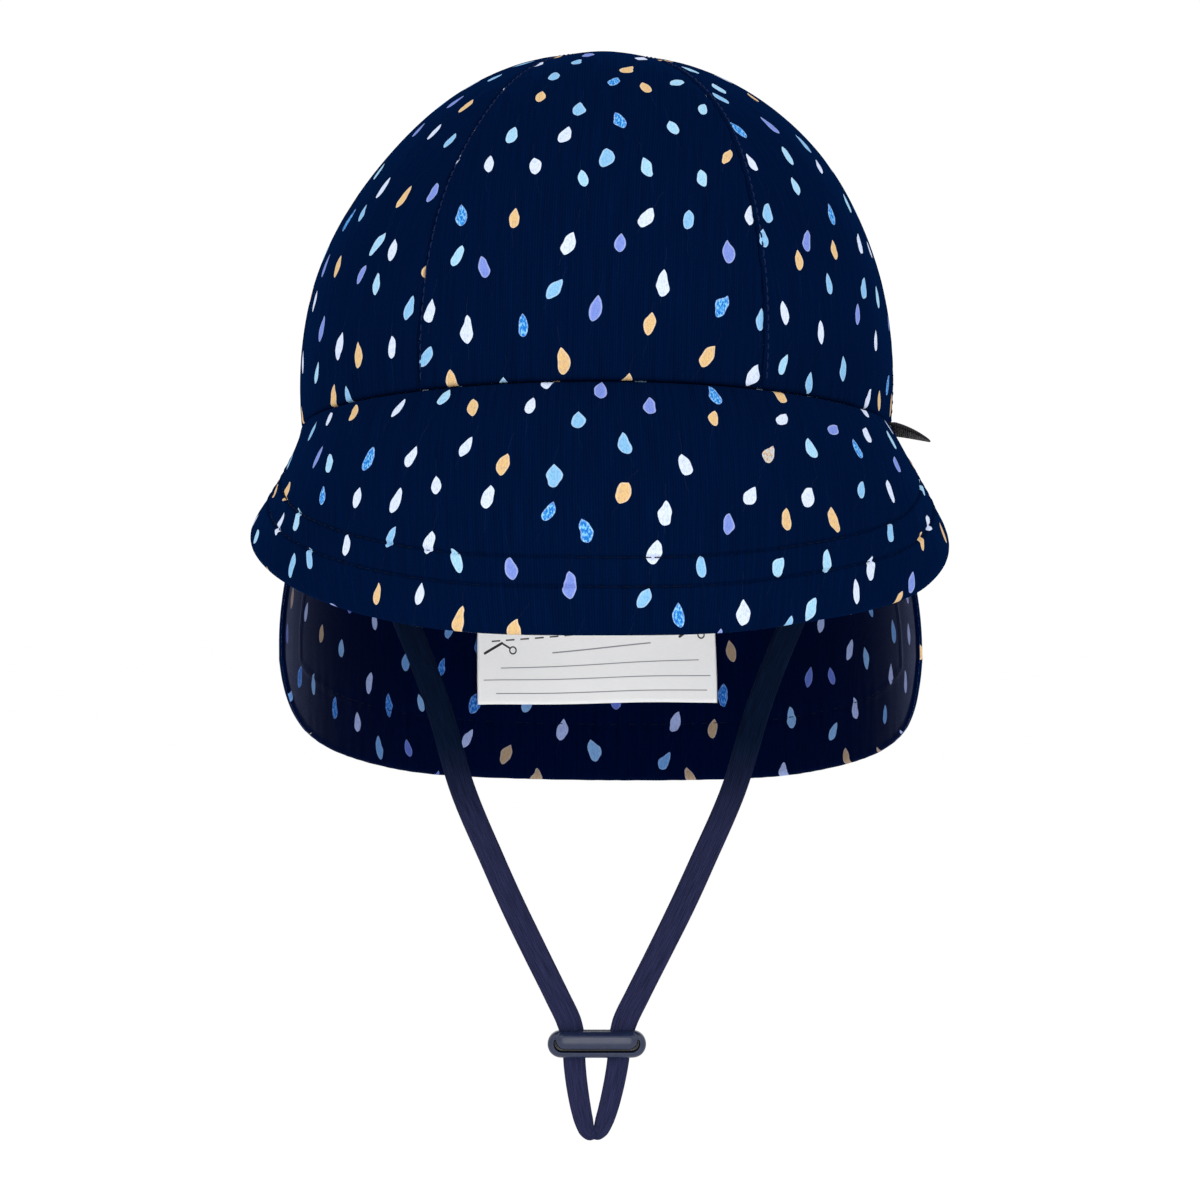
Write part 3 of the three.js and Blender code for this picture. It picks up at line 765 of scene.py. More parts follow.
def padded_peak(material):
    """The peak's two faces on either side of its middle, meeting in a round edge all the way round."""
    line = np.linspace(-PEAK_END, PEAK_END, PEAK_COLUMNS + 1)
    reach = peak_reach(line)
    from_edge = from_edge_steps(reach).T
    azimuth = line + 0 * from_edge
    from_root = reach - from_edge
    share = from_root / reach
    end = np.radians(PEAK_END - np.abs(azimuth)) * ring_radius(azimuth)
    nose = rounded(from_edge, PEAK_ROLL) * rounded(from_root, SEAM_ROLL) * rounded(end, PEAK_ROLL)
    nose = np.maximum(nose, THINNEST_EDGE)
    half = PEAK_PAD / 2
    along = np.radians(azimuth) * ring_radius(azimuth) * EDGE_PER_RIM
    plain = peak_point(azimuth, share, 0 * azimuth)
    swell = softness(plain, **PEAK_SOFTNESS) * nose
    gathers = sum(pucker(np.abs(from_edge - tuck), along, tuck) for tuck in TUCKS)
    gathers = (gathers + pucker(from_root, along, 5)) * nose
    full = PEAK_FULLNESS * np.sin(np.pi * np.clip((from_edge - TUCKS[0]) / FULL_OVER, 0, 1))
    top = tuck_lift(from_edge, reach) + gathers + swell + full
    face = as_worn(peak_point(azimuth, share, top - half * (1 - nose)))
    back = as_worn(peak_point(azimuth, share, UNDERSIDE_SWELL * swell - half * (1 + nose)))
    flat = peak_flat(azimuth, from_root)
    piece = cloth_wall("peak_cloth", face, back, flat, material)
    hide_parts("peak")


def tuck_line(tuck):
    """Points and normals along a topstitch row, where the peak is deep enough to carry it."""
    azimuth = np.linspace(-PEAK_END, PEAK_END, 500)
    reach = peak_reach(azimuth)
    azimuth, reach = azimuth[reach > tuck + 4], reach[reach > tuck + 4]
    share = 1 - tuck / reach
    lift = tuck_lift(np.full_like(reach, tuck), reach)
    low = as_worn(peak_point(azimuth, share, lift))
    high = as_worn(peak_point(azimuth, share, lift + 1))
    return low, high - low


hidden_thread = thread_material("hidden_thread", "010A1E", "02102E")
padded_peak(printed_jersey)
stitched("peak_stitches", [tuck_line(tuck) for tuck in TUCKS], TOPSTITCH, hidden_thread)


# Neck flap: a long piece of the same jersey, two layers turned through at their edges, that hangs from
# the rim from ear to ear round the back. A row of stitches holds its hem, and it flares into soft waves.
FLAP_LENGTH = 84.0
FLAP_WALL = 1.8
FLAP_FLARE = 7.0
FLARE_END = 0.62
FLAP_WAVE = 1.2
FLAP_WAVES = 7
FLAP_START = PEAK_END + 1.4 / (np.radians(1) * ring_radius(PEAK_END))
FLAP_ROLL = 1.4
FLAP_ROWS = {"roll": FLAP_ROLL, "fine": 5, "coarse": 76}
FLAP_COLUMNS = {"roll": 1.6, "fine": 8, "coarse": 288}
FLAP_SOFTNESS = {"height": 1.1, "wavelength": 52, "seed": 23}
SOFTER_BELOW = 0.7
EAR_FLARE = {"left": 2.8, "right": 1.4, "turn": 75, "down": 20}
HEM_LEAN = 0.7
HEM_END_FADE = 0.12
CORNER_CUT = {"height": 0.1, "from": 185, "over": 45}
GATHERS_BELOW_RIM = 10.0
GATHERS_FROM_END = 90.0
FLAP_CUT_AT = (700, 340)
HEM_ROW = 15.5
HEM_ROW_INSET = 10
HEM_GROOVE = {"depth": 0.28, "width": 0.6}
FLAP_HEM = table(
    "along drop",
    (0.0, 0.665),
    (0.035, 0.75),
    (0.09, 0.83),
    (0.16, 0.888),
    (0.28, 0.942),
    (0.46, 0.981),
    (0.64, 0.996),
    (1.0, 1.0),
)


def flare(down):
    """How far the flap stands out from the rim at a height, before its waves."""
    return FLAP_FLARE * smooth_step(down / FLAP_LENGTH / FLARE_END)


def rim_as_worn(azimuth, inset):
    """Point of the tipped rim, drawn in towards the head by an inset."""
    return as_worn(crown_point(azimuth, RIM_LATITUDE, -np.asarray(inset)))


def flap_swell(azimuth, down):
    """Uneven softness of the hanging cloth, growing towards the hem."""
    plain = rim_as_worn(azimuth, 0 * azimuth) - np.stack([0 * down, 0 * down, down], -1)
    return softness(plain, **FLAP_SOFTNESS) * np.clip(down / FLAP_LENGTH, 0, 1) ** SOFTER_BELOW


def flap_point(azimuth, down, depth):
    """Flap: plumb below the rim, standing out by its flare, with waves that grow down to the hem and
    die away at its front edges, where it stands out more behind each ear. depth is how far a point lies
    inside the outer face."""
    along = (azimuth - FLAP_START) / (360 - 2 * FLAP_START)
    fall = down / FLAP_LENGTH
    wave = FLAP_WAVE * fall * np.sin(np.pi * along) * np.sin(np.pi * FLAP_WAVES * along)
    left_ear = smooth_step(1 - np.abs(azimuth - FLAP_START) / EAR_FLARE["turn"])
    right_ear = smooth_step(1 - np.abs(azimuth - (360 - FLAP_START)) / EAR_FLARE["turn"])
    wide = EAR_FLARE["left"] * left_ear + EAR_FLARE["right"] * right_ear
    wide = wide * smooth_step(down / EAR_FLARE["down"])
    points = rim_as_worn(azimuth, depth + 0 * azimuth)
    points = points + outward(azimuth) * (flare(down) + wave + wide)[..., None]
    points[..., 0] += HANG_OFFSET * smooth_step(fall)
    points[..., 2] -= SEAM_GAP + down
    return points


def flap_drop(azimuth):
    """Length of the flap at an azimuth: its share of the full length comes from the hem's table. The hem
    hangs a little lower on the wearer's left, and the right corner is cut away more."""
    along = np.maximum(0, 1 - np.abs(azimuth - 180) / (180 - FLAP_START))
    shorter = CORNER_CUT["height"] * smooth_step((azimuth - CORNER_CUT["from"]) / CORNER_CUT["over"])
    shorter = shorter + HEM_LEAN * np.sin(np.radians(azimuth - 180))
    return FLAP_LENGTH * column(FLAP_HEM, "drop", along) - shorter * smooth_step(along / HEM_END_FADE)


def neck_flap(material):
    """The flap's two faces, rolled together at its free edges and drawn in along the hem's stitches. At
    the rim's seam only the outer face rolls in."""
    line = FLAP_START + edged_steps(360 - 2 * FLAP_START, **FLAP_COLUMNS)
    drop = flap_drop(line)
    from_hem = edged_steps(drop, **FLAP_ROWS).T
    azimuth = line + 0 * from_hem
    down = drop - from_hem
    end = np.radians(np.minimum(azimuth - FLAP_START, 360 - FLAP_START - azimuth)) * ring_radius(azimuth)
    edge = np.minimum(from_hem, end)
    inner_nose = np.maximum(rounded(edge, FLAP_ROLL), THINNEST_EDGE)
    nose = np.maximum(inner_nose * rounded(down, SEAM_ROLL), THINNEST_EDGE)
    half = FLAP_WALL / 2
    along = np.radians(azimuth - 180) * ring_radius(azimuth)
    groove = HEM_GROOVE["depth"] * np.exp(-(((edge - HEM_ROW) / HEM_GROOVE["width"]) ** 2))
    gathers = pucker(np.abs(from_hem - HEM_ROW), along, 2) + pucker(from_hem, along, 7)
    gathers = gathers * np.minimum(1, np.minimum(down / GATHERS_BELOW_RIM, end / GATHERS_FROM_END))
    surface = flap_swell(azimuth, down) + gathers
    face = flap_point(azimuth, down, half * (1 - nose) - surface + groove)
    back = flap_point(azimuth, down, half * (1 + inner_nose) - surface - groove)
    flat = np.stack([along + FLAP_CUT_AT[0], from_hem - drop + FLAP_CUT_AT[1]], -1)
    piece = cloth_wall("neck_flap_cloth", face, back, flat, material)
    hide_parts("neck_flap")


FLAP_SHEEN = {"weight": 0.7, "roughness": 0.26, "tint": "8A92B8"}
# B4BCDC is a bluish painted shade on the flap's inner face.
neck_flap(jersey_material("flap_jersey", "B4BCDC", FLAP_SHEEN))


def hem_line(inner):
    """Points and normals of the hem's stitches on the flap's outer or inner face."""
    azimuth = np.linspace(FLAP_START + HEM_ROW_INSET, 360 - HEM_ROW_INSET - FLAP_START, 700)
    down = flap_drop(azimuth) - HEM_ROW
    bottom = HEM_GROOVE["depth"]
    depth = (FLAP_WALL - bottom if inner else bottom) - flap_swell(azimuth, down)
    normal = outward(azimuth) * (-1 if inner else 1)
    return flap_point(azimuth, down, depth), normal


stitched("flap_stitches", [hem_line(False), hem_line(True)], TOPSTITCH, hidden_thread)


# Name label: a rectangle of white satin ribbon sewn by its top edge inside the flap at the centre back.
# It has a dashed line with scissors to cut along and bare ruled lines, and its free edges waver a little.
LABEL = {"width": 70.2, "height": 60.0, "wall": 0.5, "top": 2.9}
LABEL_ROWS = 61
LABEL_COLUMNS = 71
LABEL_STANDOFF = 2.3
LABEL_WAVER = {"depth": 0.5, "across": 7, "down": 17}
LABEL_SIDES = {"depth": 0.006, "down": 6.5}
LABEL_HEM = {"corner_drop": 0.7, "lean": 0.4, "depth": 0.15, "across": 8}
LABEL_ASIDE = 0.6
DASH_PERIOD = 4.3
DASH_SHARE = 0.6
DASHED_LINE = {"from": (3.4, 17.1), "to": (68.0, 22.3), "half": 0.2}
RULED_LINES = [
    {"from": (22.4, 14.2), "to": (50.9, 16.4), "half": 0.17},
    {"from": (7.2, 9.9), "to": (64.9, 11.7), "half": 0.13},
    {"from": (1.9, 6.6), "to": (68.3, 7.4), "half": 0.13},
    {"from": (5.6, 2.9), "to": (67.2, 3.4), "half": 0.13},
]
SCISSORS = [
    {"from": (2.2, 13.9), "to": (7.4, 16.7), "half": 0.36},
    {"from": (7.4, 16.7), "to": (9.6, 15.5), "half": 0.26},
    {"from": (59.6, 18.1), "to": (63.0, 20.3), "half": 0.36},
    {"from": (63.0, 20.3), "to": (65.0, 19.3), "half": 0.26},
]
SCISSOR_RINGS = [(10.7, 14.8), (66.0, 18.6)]
RING_RADIUS = 0.95
RING_HALF = 0.2
PRINT_EDGE = 0.06


def printed_line(n, cloth, line):
    """1 on a straight printed line and 0 beside it: the distance from a point to the nearest place on
    the line, whose share of the line is clamp(dot(p - a, b - a) / |b - a|^2)."""
    start, span = np.array(line["from"]), np.subtract(line["to"], line["from"])
    off = n.parts(n.vector("SUBTRACT", cloth, (*start, 0)))
    across, up = span / (span @ span)
    share = n.math("MULTIPLY_ADD", off[0], across, n.math("MULTIPLY", off[1], up), clamp=True)
    away_x = n.math("MULTIPLY_ADD", share, -span[0], off[0])
    away_y = n.math("MULTIPLY_ADD", share, -span[1], off[1])
    away = n.hypotenuse(away_x, away_y)
    return n.ramp(away, line["half"] + PRINT_EDGE, line["half"] - PRINT_EDGE)


def printed_ring(n, cloth, centre):
    """1 on a printed circle about a centre and 0 off it."""
    off = n.parts(n.vector("SUBTRACT", cloth, (*centre, 0)))
    away = n.math("SUBTRACT", n.hypotenuse(off[0], off[1]), RING_RADIUS)
    return n.ramp(n.math("ABSOLUTE", away), RING_HALF + PRINT_EDGE, RING_HALF - PRINT_EDGE)


def darkest(n, marks):
    """The greatest of some masks at each point."""
    most = marks[0]
    for mark in marks[1:]:
        most = n.math("MAXIMUM", most, mark)
    return most


def satin_material():
    """White satin with a faint warp and weft, printed on its face only. The printed lines' places are in
    mm from the label's lower corner, in its own cloth_mm map."""
    material, n, shader = finish("label_satin", 0.55, 0.35)
    cloth = n.cloth_map()
    step = n.math("FRACT", n.math("DIVIDE", n.parts(cloth)[0], DASH_PERIOD))
    dash = n.math("LESS_THAN", step, DASH_SHARE)
    marks = [n.math("MULTIPLY", dash, printed_line(n, cloth, DASHED_LINE))]
    marks += [printed_line(n, cloth, line) for line in SCISSORS]
    marks += [printed_ring(n, cloth, centre) for centre in SCISSOR_RINGS]
    front = n.math("SUBTRACT", 1.0, n.inner_side())
    black = n.math("MULTIPLY", darkest(n, marks), front)
    grey = darkest(n, [printed_line(n, cloth, line) for line in RULED_LINES])
    weave = n.noise(n.stretched(cloth, 0.6, 7.0), 1.0, 3.0)
    satin = n.mix(weave, linear("F2F2F4"), linear("FDFDFD"))
    ruled = n.mix(n.math("MULTIPLY", grey, front), satin, linear("7C7E84"))
    n.feed(shader["Base Color"], n.mix(black, ruled, linear("1A1A1E")))
    n.relief(shader, weave, 0.25, 0.0001)
    return material


def name_label(material):
    """A grid that hangs in front of the flap's inner face, and wavers more and more towards its free
    edges: in and out, sideways, and up and down at its hem."""
    down = np.linspace(0, LABEL["height"], LABEL_ROWS)[:, None]
    across = np.linspace(-0.5, 0.5, LABEL_COLUMNS) * LABEL["width"] + LABEL_ASIDE
    free = smooth_step(down / LABEL["height"])
    width = across * (1 + LABEL_SIDES["depth"] * free * np.sin(down / LABEL_SIDES["down"]))
    back_radius = CROWN_HALF_WIDTH**2 / CROWN_HALF_LENGTH
    reach = width / (np.radians(1) * ring_radius(180) * (1 + flare(down + LABEL["top"]) / back_radius))
    wave = 1 + np.sin(across / LABEL_WAVER["across"] + down / LABEL_WAVER["down"])
    waver = LABEL_WAVER["depth"] * free * wave * np.abs(across) / LABEL["width"]
    corner = 2 * across / LABEL["width"]
    hang = LABEL_HEM["corner_drop"] * corner**2 + LABEL_HEM["lean"] * corner
    hang = free * (hang + LABEL_HEM["depth"] * np.sin(across / LABEL_HEM["across"]))
    azimuth = 180 + reach
    below = down + LABEL["top"] + hang
    depth = LABEL_STANDOFF + waver - flap_swell(azimuth, below)
    face = flap_point(azimuth, below, depth + LABEL["wall"])
    back = flap_point(azimuth, below, depth)
    from_side = LABEL["width"] / 2 + LABEL_ASIDE - across
    flat = np.stack([from_side + 0 * down, LABEL["height"] - down + 0 * across], -1)
    piece = cloth_wall("name_label_satin", face, back, flat, material)
    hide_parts("name_label")


name_label(satin_material())


# Side tag: a short folded strip of black woven tape caught in the seam between the crown and the peak,
# just in front of the wearer's left ear. It stands out sideways, droops, and thins towards its fold.
TAG = {"width": 14.0, "length": 11.2, "wall": 1.5, "azimuth": 84.0, "seat": -0.5}
TAG_ROLL = 6.5
TAG_ROOT_TWIST = -10.5
TAG_SLOPE = 9.0
TAG_DROOP = 18.0
TAG_TAPER = 0.75
TAG_SEAM = {"share": 0.3, "over": 0.2}
TAG_FOLD = {"round": 0.06, "least": 0.03}
TAG_SIDES = {"pinch": 0.7, "power": 14}
TAG_ROWS = 34
TAG_STEPS = 40
TAG_RIB = 0.55
TAG_WEFT = 0.35


def tape_material():
    """Black ribbed tape: ridges across its length, and crossing weft between them."""
    material, n, shader = finish("tag_tape", 0.7, 0.3)
    place = n.parts(n.cloth_map())
    rib = n.math("ABSOLUTE", n.math("SINE", n.math("MULTIPLY", place[1], np.pi / TAG_RIB)))
    weft = n.math("ABSOLUTE", n.math("SINE", n.math("MULTIPLY", place[0], np.pi / TAG_WEFT)))
    height = n.math("MULTIPLY", rib, n.math("MULTIPLY_ADD", weft, 0.4, 0.6))
    # The colour follows the rib height: dark grey on the ridges' tops, a painted highlight, and near black
    # between them, painted shade.
    n.feed(shader["Base Color"], n.mix(height, linear("050507"), linear("26262C")))
    n.relief(shader, height, 0.8, 0.0002)
    return material


def ladder_tube(name, rings, flat, material):
    """Closed tube through rings of points. A ring goes out along one face and back along the other, so
    each end is closed by a ladder of faces between the two."""
    rows, columns = rings.shape[:2]
    rung = np.arange(columns // 2 - 1)
    cap = np.stack([rung, columns - 1 - rung, columns - 2 - rung, rung + 1], -1)
    far_cap = cap[:, ::-1] + (rows - 1) * columns
    faces = np.concatenate([grid_faces(rows, columns, ring=True), cap, far_cap])
    points = rings.reshape(-1, 3)
    return mesh_piece(name, points, facing_out(points, faces), flat.reshape(-1, 2), material)


def side_tag(material):
    """One closed section carried across the tape: out along the upper leaf, round the fold at the tip,
    and back along the lower leaf. The leaves draw together in the seam, at the fold and at both edges."""
    azimuth = np.array(TAG["azimuth"])
    tag_out = outward(azimuth)
    start = crown_point(azimuth, RIM_LATITUDE, np.array(TAG["seat"]))
    level = np.array([-tag_out[1], tag_out[0], 0.0])
    run = np.sin(np.linspace(0, np.pi / 2, TAG_STEPS))
    caught = TAG_SEAM["share"] + (1 - TAG_SEAM["share"]) * smooth_step(run / TAG_SEAM["over"])
    fold = np.maximum(rounded(1 - run, TAG_FOLD["round"]), TAG_FOLD["least"])
    half_wall = TAG["wall"] / 2 * (1 - TAG_TAPER * run**3) * fold
    share = np.concatenate([run, run[::-1]])
    rise = np.concatenate([half_wall * caught, -(half_wall * caught)[::-1]])
    roll = np.radians(TAG_ROLL + TAG_ROOT_TWIST * (1 - share**1.5))[:, None]
    across = level * np.cos(roll) + np.cross(tag_out, level) * np.sin(roll)
    droop = np.radians(TAG_SLOPE + TAG_DROOP * share / 2)
    side = np.sin(np.linspace(-np.pi / 2, np.pi / 2, TAG_ROWS))[:, None] / 2
    pinch = 1 - TAG_SIDES["pinch"] * np.abs(2 * side) ** TAG_SIDES["power"]
    out = TAG["length"] * share * np.cos(droop) + 0 * side
    up = rise * pinch - TAG["length"] * share * np.sin(droop)
    points = start + tag_out * out[..., None] + across * (side * TAG["width"] + 0 * out)[..., None]
    points[..., 2] += up
    flat = np.stack([side * TAG["width"] + 0 * out, share * TAG["length"] + 0 * side], -1)
    piece = ladder_tube("side_tag_tape", as_worn(points), flat, material)
    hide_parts("side_tag")


side_tag(tape_material())


# Chin strap: one soft flat tube of plain navy jersey. Both its ends are sewn inside the rim beside the
# ears, its legs hang to the slider, and below it they end in a loop that is pinched at the bottom.
STRAP = {"width": 6.3, "wall": 1.6, "azimuth": 84.0, "tuck": 7.0, "inset": 3.7, "hang": 154.0}
LOOP_LENGTH = 22.7
SLIDER_DRIFT = -0.8
LOOP_DRIFT = -1.6
HALF_LEGS = 5.7
FOLD = {"step": 0.45, "below": 16}
STRAP_EASE = {"depth": 0.02, "short": 9, "long": 23}
STRAP_STEPS = 460
STRAP_SIDES = 28
STRAP_SQUARENESS = 0.5
# Heights in mm over which the strap's painted shade fades in going up.
STRAP_PAINTED_SHADE_FADE = (-104.0, -76.0)
STRAP_SHEEN = {"weight": 0.12, "roughness": 0.3, "tint": "2A5AA8"}
STRAP_LEG = table(
    "down out turn",
    (0.0, 1.0, 0),
    (0.06, 0.965, 12),
    (0.16, 0.845, 45),
    (0.3, 0.685, 78),
    (0.44, 0.552, 90),
    (0.585, 0.446, 90),
    (0.7, 0.327, 90),
    (0.774, 0.246, 90),
    (0.85, 0.156, 90),
    (0.922, 0.069, 90),
    (0.965, 0.02, 90),
)
STRAP_LOOP = table(
    "below out width",
    (0.0, 1.0, 0.9),
    (0.17, 0.97, 0.88),
    (0.34, 0.89, 0.86),
    (0.52, 0.77, 0.84),
    (0.7, 0.62, 0.81),
    (0.85, 0.46, 0.76),
    (0.96, 0.3, 0.64),
    (1.0, 0.14, 0.5),
    (0.965, 0.0, 0.42),
)


def strap_material():
    """Dark navy jersey tube with fine streaks along its length and a soft bloom at its edges. Higher up,
    where it hangs inside the hat, a painted shade darkens it, fading out downwards past the flap's hem."""
    material, n, shader = finish("strap_jersey", 0.85, 0.03, STRAP_SHEEN)
    cloth = n.cloth_map()
    knit = n.group(JERSEY, {"Cloth": cloth, "Wale": 0.5, "Course": 0.42})
    streak = n.noise(n.stretched(cloth, 4.2, 0.16), 1.0, 3.0)
    tone = n.math("MULTIPLY_ADD", knit["Tone"], 0.3, n.math("MULTIPLY", streak, 0.7))
    height = n.parts(n.add("ShaderNodeTexCoord").outputs["Object"])[2]
    light = n.ramp(tone, 0.2, 0.8)
    pale = n.mix(light, linear("16182E"), linear("2A2D4C"))
    strap_painted_shade = n.mix(light, linear("020818"), linear("06152E"))
    # Painted shade: the strap is darkened higher up to stand for the shade inside the hat.
    inside = n.ramp(height, *(level * METRES for level in STRAP_PAINTED_SHADE_FADE))
    n.feed(shader["Base Color"], n.mix(inside, pale, strap_painted_shade))
    n.relief(shader, knit["Height"], 0.35, 0.0002)
    return material


def smooth_path(places, at):
    """Centripetal Catmull-Rom curve through places: at counts places from the first one, 0."""
    first, last = 2 * places[:1] - places[1:2], 2 * places[-1:] - places[-2:-1]
    ended = np.concatenate([first, places, last])
    lower = np.clip(np.floor(at).astype(int), 0, len(places) - 2)
    p0, p1, p2, p3 = (ended[lower + k] for k in range(4))
    d0, d1, d2 = (np.sqrt(np.linalg.norm(b - a, axis=1))[:, None] for a, b in ((p0, p1), (p1, p2), (p2, p3)))
    leave = ((p1 - p0) / d0 - (p2 - p0) / (d0 + d1) + (p2 - p1) / d1) * d1
    arrive = ((p2 - p1) / d1 - (p3 - p1) / (d1 + d2) + (p3 - p2) / d2) * d1
    t = (at - lower)[:, None]
    curve = -3 * p1 + 3 * p2 - 2 * leave - arrive
    return p1 + leave * t + curve * t**2 + (2 * p1 - 2 * p2 + leave + arrive) * t**3


def strap_stations():
    """Rows of out, height, turn, width share and drift, from the top of a leg to the loop's lowest
    point."""
    top_out = float(rim_as_worn(np.array(STRAP["azimuth"]), STRAP["inset"])[0])
    down = STRAP_LEG["down"]
    reach = HALF_LEGS + (top_out - HALF_LEGS) * STRAP_LEG["out"]
    leg = [reach, -STRAP["hang"] * down, STRAP_LEG["turn"], 1 + 0 * down, SLIDER_DRIFT * down]
    leg = np.stack(leg, -1)
    tuck = leg[:1] + (0, STRAP["tuck"], 0, 0, 0)
    below = STRAP_LOOP["below"]
    drift = SLIDER_DRIFT + (LOOP_DRIFT - SLIDER_DRIFT) * below
    height = -STRAP["hang"] - LOOP_LENGTH * below
    loop = [HALF_LEGS * STRAP_LOOP["out"], height, 90 + 0 * below, STRAP_LOOP["width"], drift]
    loop = np.stack(loop, -1)
    return np.concatenate([tuck, leg, loop])


def superellipse(count, power):
    """Unit ring of points |cos|^power and |sin|^power, with their signs, that starts at its right."""
    theta = 2 * np.pi * (np.arange(count) + 0.5) / count
    wide = np.sign(np.cos(theta)) * np.abs(np.cos(theta)) ** power
    thick = np.sign(np.sin(theta)) * np.abs(np.sin(theta)) ** power
    return wide, thick


def chin_strap(material):
    """A flat oval section carried along the smooth path. It turns from lying against the head at the top
    to facing the front at the slider, and at the loop's fold one leg steps a little behind the other."""
    one = strap_stations()
    out, height, turns, widths, drift = np.concatenate([one, one[-2::-1]]).T
    side = np.concatenate([-np.ones(len(one)), np.ones(len(one) - 1)])
    plane = rim_as_worn(np.array(STRAP["azimuth"]), STRAP["inset"])[1]
    folded = smooth_step(-height - STRAP["hang"] - FOLD["below"])
    stepped = FOLD["step"] * np.clip(side * out, -1, 1) * folded
    places = np.stack([side * out + drift, plane + stepped, height], -1)
    at = np.linspace(0, len(places) - 1, STRAP_STEPS)
    centre = smooth_path(places, at)
    tangent = np.gradient(centre, axis=0)
    tangent /= np.linalg.norm(tangent, axis=1, keepdims=True)
    count = np.arange(len(places))
    turn, width, hand = (np.interp(at, count, values) for values in (turns, widths, side))
    across = np.cross([0.0, -1.0, 0.0], tangent)
    across /= np.linalg.norm(across, axis=1, keepdims=True)
    angle = (np.radians(90 - turn) * np.where(hand < 0, -1, 1))[:, None]
    across = across * np.cos(angle) + np.cross(tangent, across) * np.sin(angle)
    facing = np.cross(tangent, across)
    wide, thick = superellipse(STRAP_SIDES, STRAP_SQUARENESS)
    run = np.append(0, np.cumsum(np.linalg.norm(np.diff(centre, axis=0), axis=1)))
    ease = 1 + STRAP_EASE["depth"] * np.sin(run / STRAP_EASE["short"]) * np.sin(run / STRAP_EASE["long"])
    half_width = (STRAP["width"] / 2 * width * ease)[:, None, None]
    spread = across[:, None] * (wide[:, None] * half_width)
    rings = centre[:, None] + spread + facing[:, None] * (thick * STRAP["wall"] / 2)[:, None]
    steps = np.hypot(np.diff(wide) * STRAP["width"] / 2, np.diff(thick) * STRAP["wall"] / 2)
    around = np.append(0, np.cumsum(steps))
    flat = np.stack([around + 0 * run[:, None], run[:, None] + 0 * around], -1)
    piece = ladder_tube("chin_strap_jersey", rings, flat, material)
    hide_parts("chin_strap")


chin_strap(strap_material())


# Slider: a moulded plastic bead with one tunnel for both legs of the strap. A rounded bar stands out of
# its front, over a deep groove that turns up at both ends, and all its edges are rounded.
SLIDER = {"width": 24.8, "height": 6.8, "depth": 6.0, "round": 1.5, "squareness": 0.42}
TUNNEL = {"width": 17.5, "depth": 2.6, "squareness": 0.25, "flare": 0.03, "flare_power": 6}
FRONT = {"from": 0.55, "over": 0.3, "fade_power": 8}
BAR = {"width": 20.6, "height": 4.6, "lift": 1.2, "rise": 0.95, "round": 1.9}
GROOVE = {"width": 21.8, "height": 4.2, "lift": 0.2, "depth": 1.5, "round": 0.3}
SLIDER_SIDES = 420
SLIDER_LEVELS = 61
SLIDER_MOUTH_RINGS = 8


def plastic_material():
    """Dark blue-grey moulded nylon, fairly glossy, with a faint mottle in its colour, roughness and surface.
    """
    material, n, shader = finish("slider_plastic", 0.33, 0.42)
    place = n.add("ShaderNodeTexCoord").outputs["Object"]
    mottle = n.add("ShaderNodeTexNoise", {"Vector": place, "Scale": 900.0, "Detail": 3.0}).outputs[0]
    moulded = n.mix(mottle, linear("131A32"), linear("202B4A"))
    # Painted shade: the groove, marked by the inner attribute, is coloured near black to darken the recess.
    n.feed(shader["Base Color"], n.mix(n.inner_side(), moulded, linear("020204")))
    n.feed(shader["Roughness"], n.math("MULTIPLY_ADD", mottle, 0.18, 0.24))
    n.relief(shader, mottle, 0.12, 0.0001)
    return material


def inside_oval(x, z, oval):
    """0 outside an oval with round ends, rising as a quarter ellipse to 1 at its round inside it."""
    straight = np.maximum(0, np.abs(x) - (oval["width"] - oval["height"]) / 2)
    return rounded(oval["height"] / 2 - np.hypot(straight, z - oval["lift"]), oval["round"])


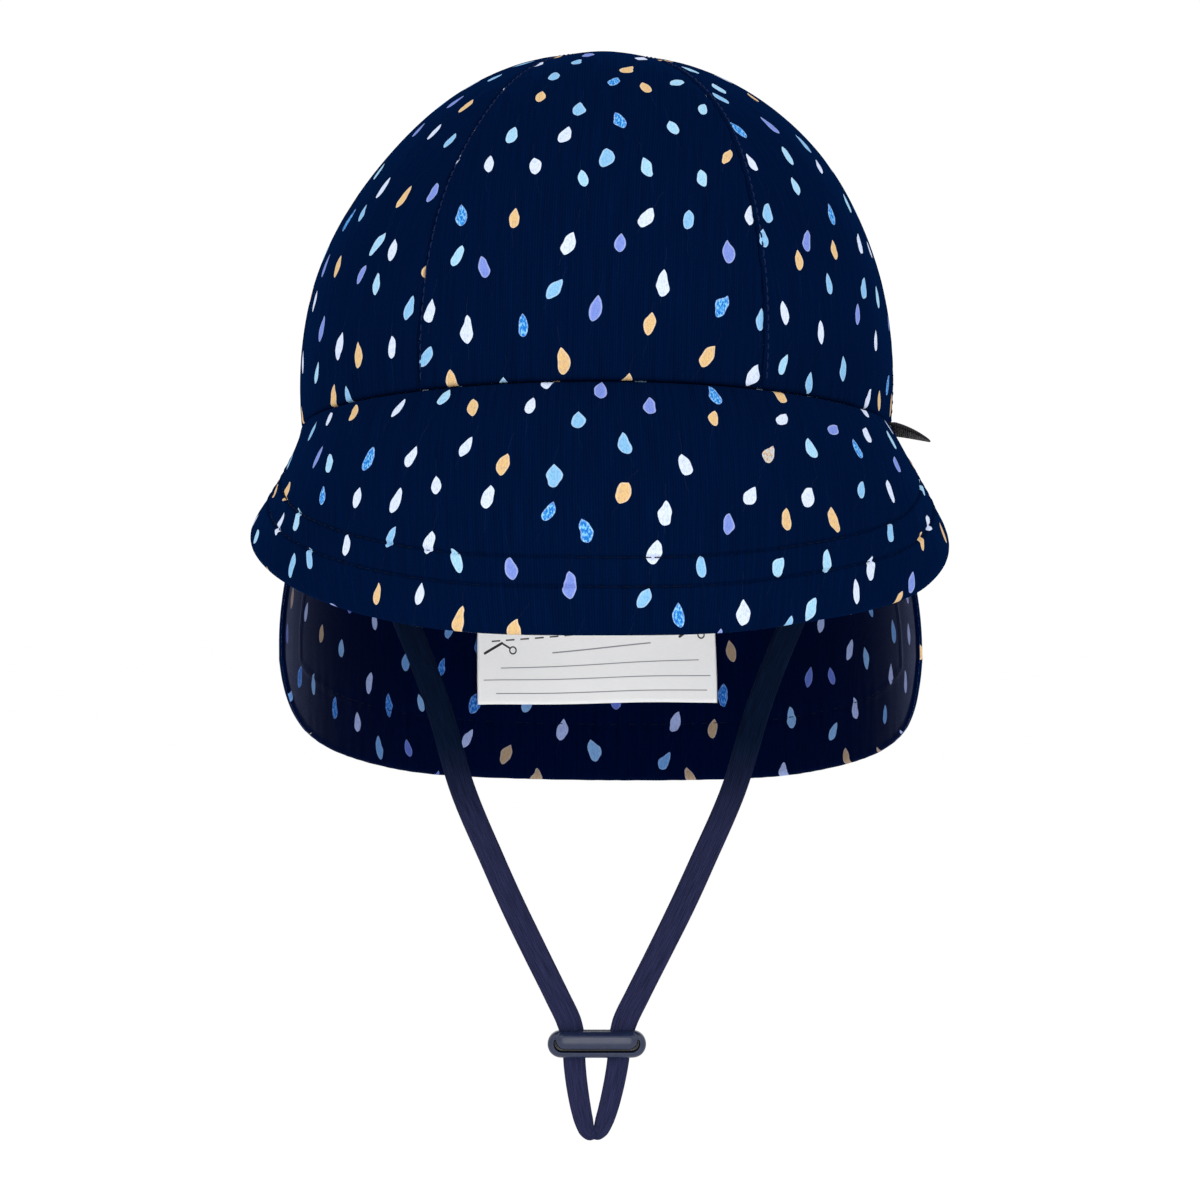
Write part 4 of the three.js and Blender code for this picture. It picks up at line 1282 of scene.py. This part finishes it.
def slider_bead(material):
    """Closed grid of rings: up the outside, in over the top, down the tunnel and out under the bottom.
    Outside, a ring is a rounded box whose width follows the round ends and whose depth follows the
    rounded edges, and the front face is pushed in for the groove and out for the bar."""
    half_height = SLIDER["height"] / 2
    level = np.sin(np.linspace(-np.pi / 2, np.pi / 2, SLIDER_LEVELS)) * half_height
    mouth = np.linspace(0, 1, SLIDER_MOUTH_RINGS + 2)[1:-1]
    top = half_height + 0 * mouth
    z = np.concatenate([level, top, level[::-1], -top])[:, None]
    inward = np.concatenate([0 * level, mouth, 1 + 0 * level, mouth[::-1]])[:, None]
    past = np.clip((np.abs(z) - (half_height - SLIDER["round"])) / SLIDER["round"], 0, 1)
    outer_width = SLIDER["width"] / 2 - half_height + np.sqrt(np.maximum(0, half_height**2 - z**2))
    outer_depth = SLIDER["depth"] / 2 - SLIDER["round"] * (1 - np.sqrt(1 - past**2))
    box_x, box_y = superellipse(SLIDER_SIDES, SLIDER["squareness"])
    slot_x, slot_y = superellipse(SLIDER_SIDES, TUNNEL["squareness"])
    flared = 1 + TUNNEL["flare"] * (np.abs(z) / half_height) ** TUNNEL["flare_power"]
    x = (1 - inward) * outer_width * box_x + inward * TUNNEL["width"] / 2 * flared * slot_x
    y = (1 - inward) * outer_depth * box_y + inward * TUNNEL["depth"] / 2 * flared * slot_y
    z = z + 0 * x
    front = (1 - inward) ** FRONT["fade_power"] * smooth_step((-box_y - FRONT["from"]) / FRONT["over"])
    bar = inside_oval(x, z, BAR)
    groove = front * inside_oval(x, z, GROOVE) * (bar == 0) * (z < BAR["lift"])
    y = y + GROOVE["depth"] * groove - BAR["rise"] * front * bar
    plane = rim_as_worn(np.array(STRAP["azimuth"]), STRAP["inset"])[1]
    rings = np.stack([x + SLIDER_DRIFT, y + plane, z - STRAP["hang"]], -1)
    points = rings.reshape(-1, 3)
    flat = points[:, [0, 2]]
    faces = facing_out(points, grid_faces(*rings.shape[:2], ring=True, loop=True))
    # groove is passed as the inner attribute, where the plastic gets its painted shade.
    piece = mesh_piece("slider_bead", points, faces, flat, material, groove.ravel())
    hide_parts("slider")


slider_bead(plastic_material())
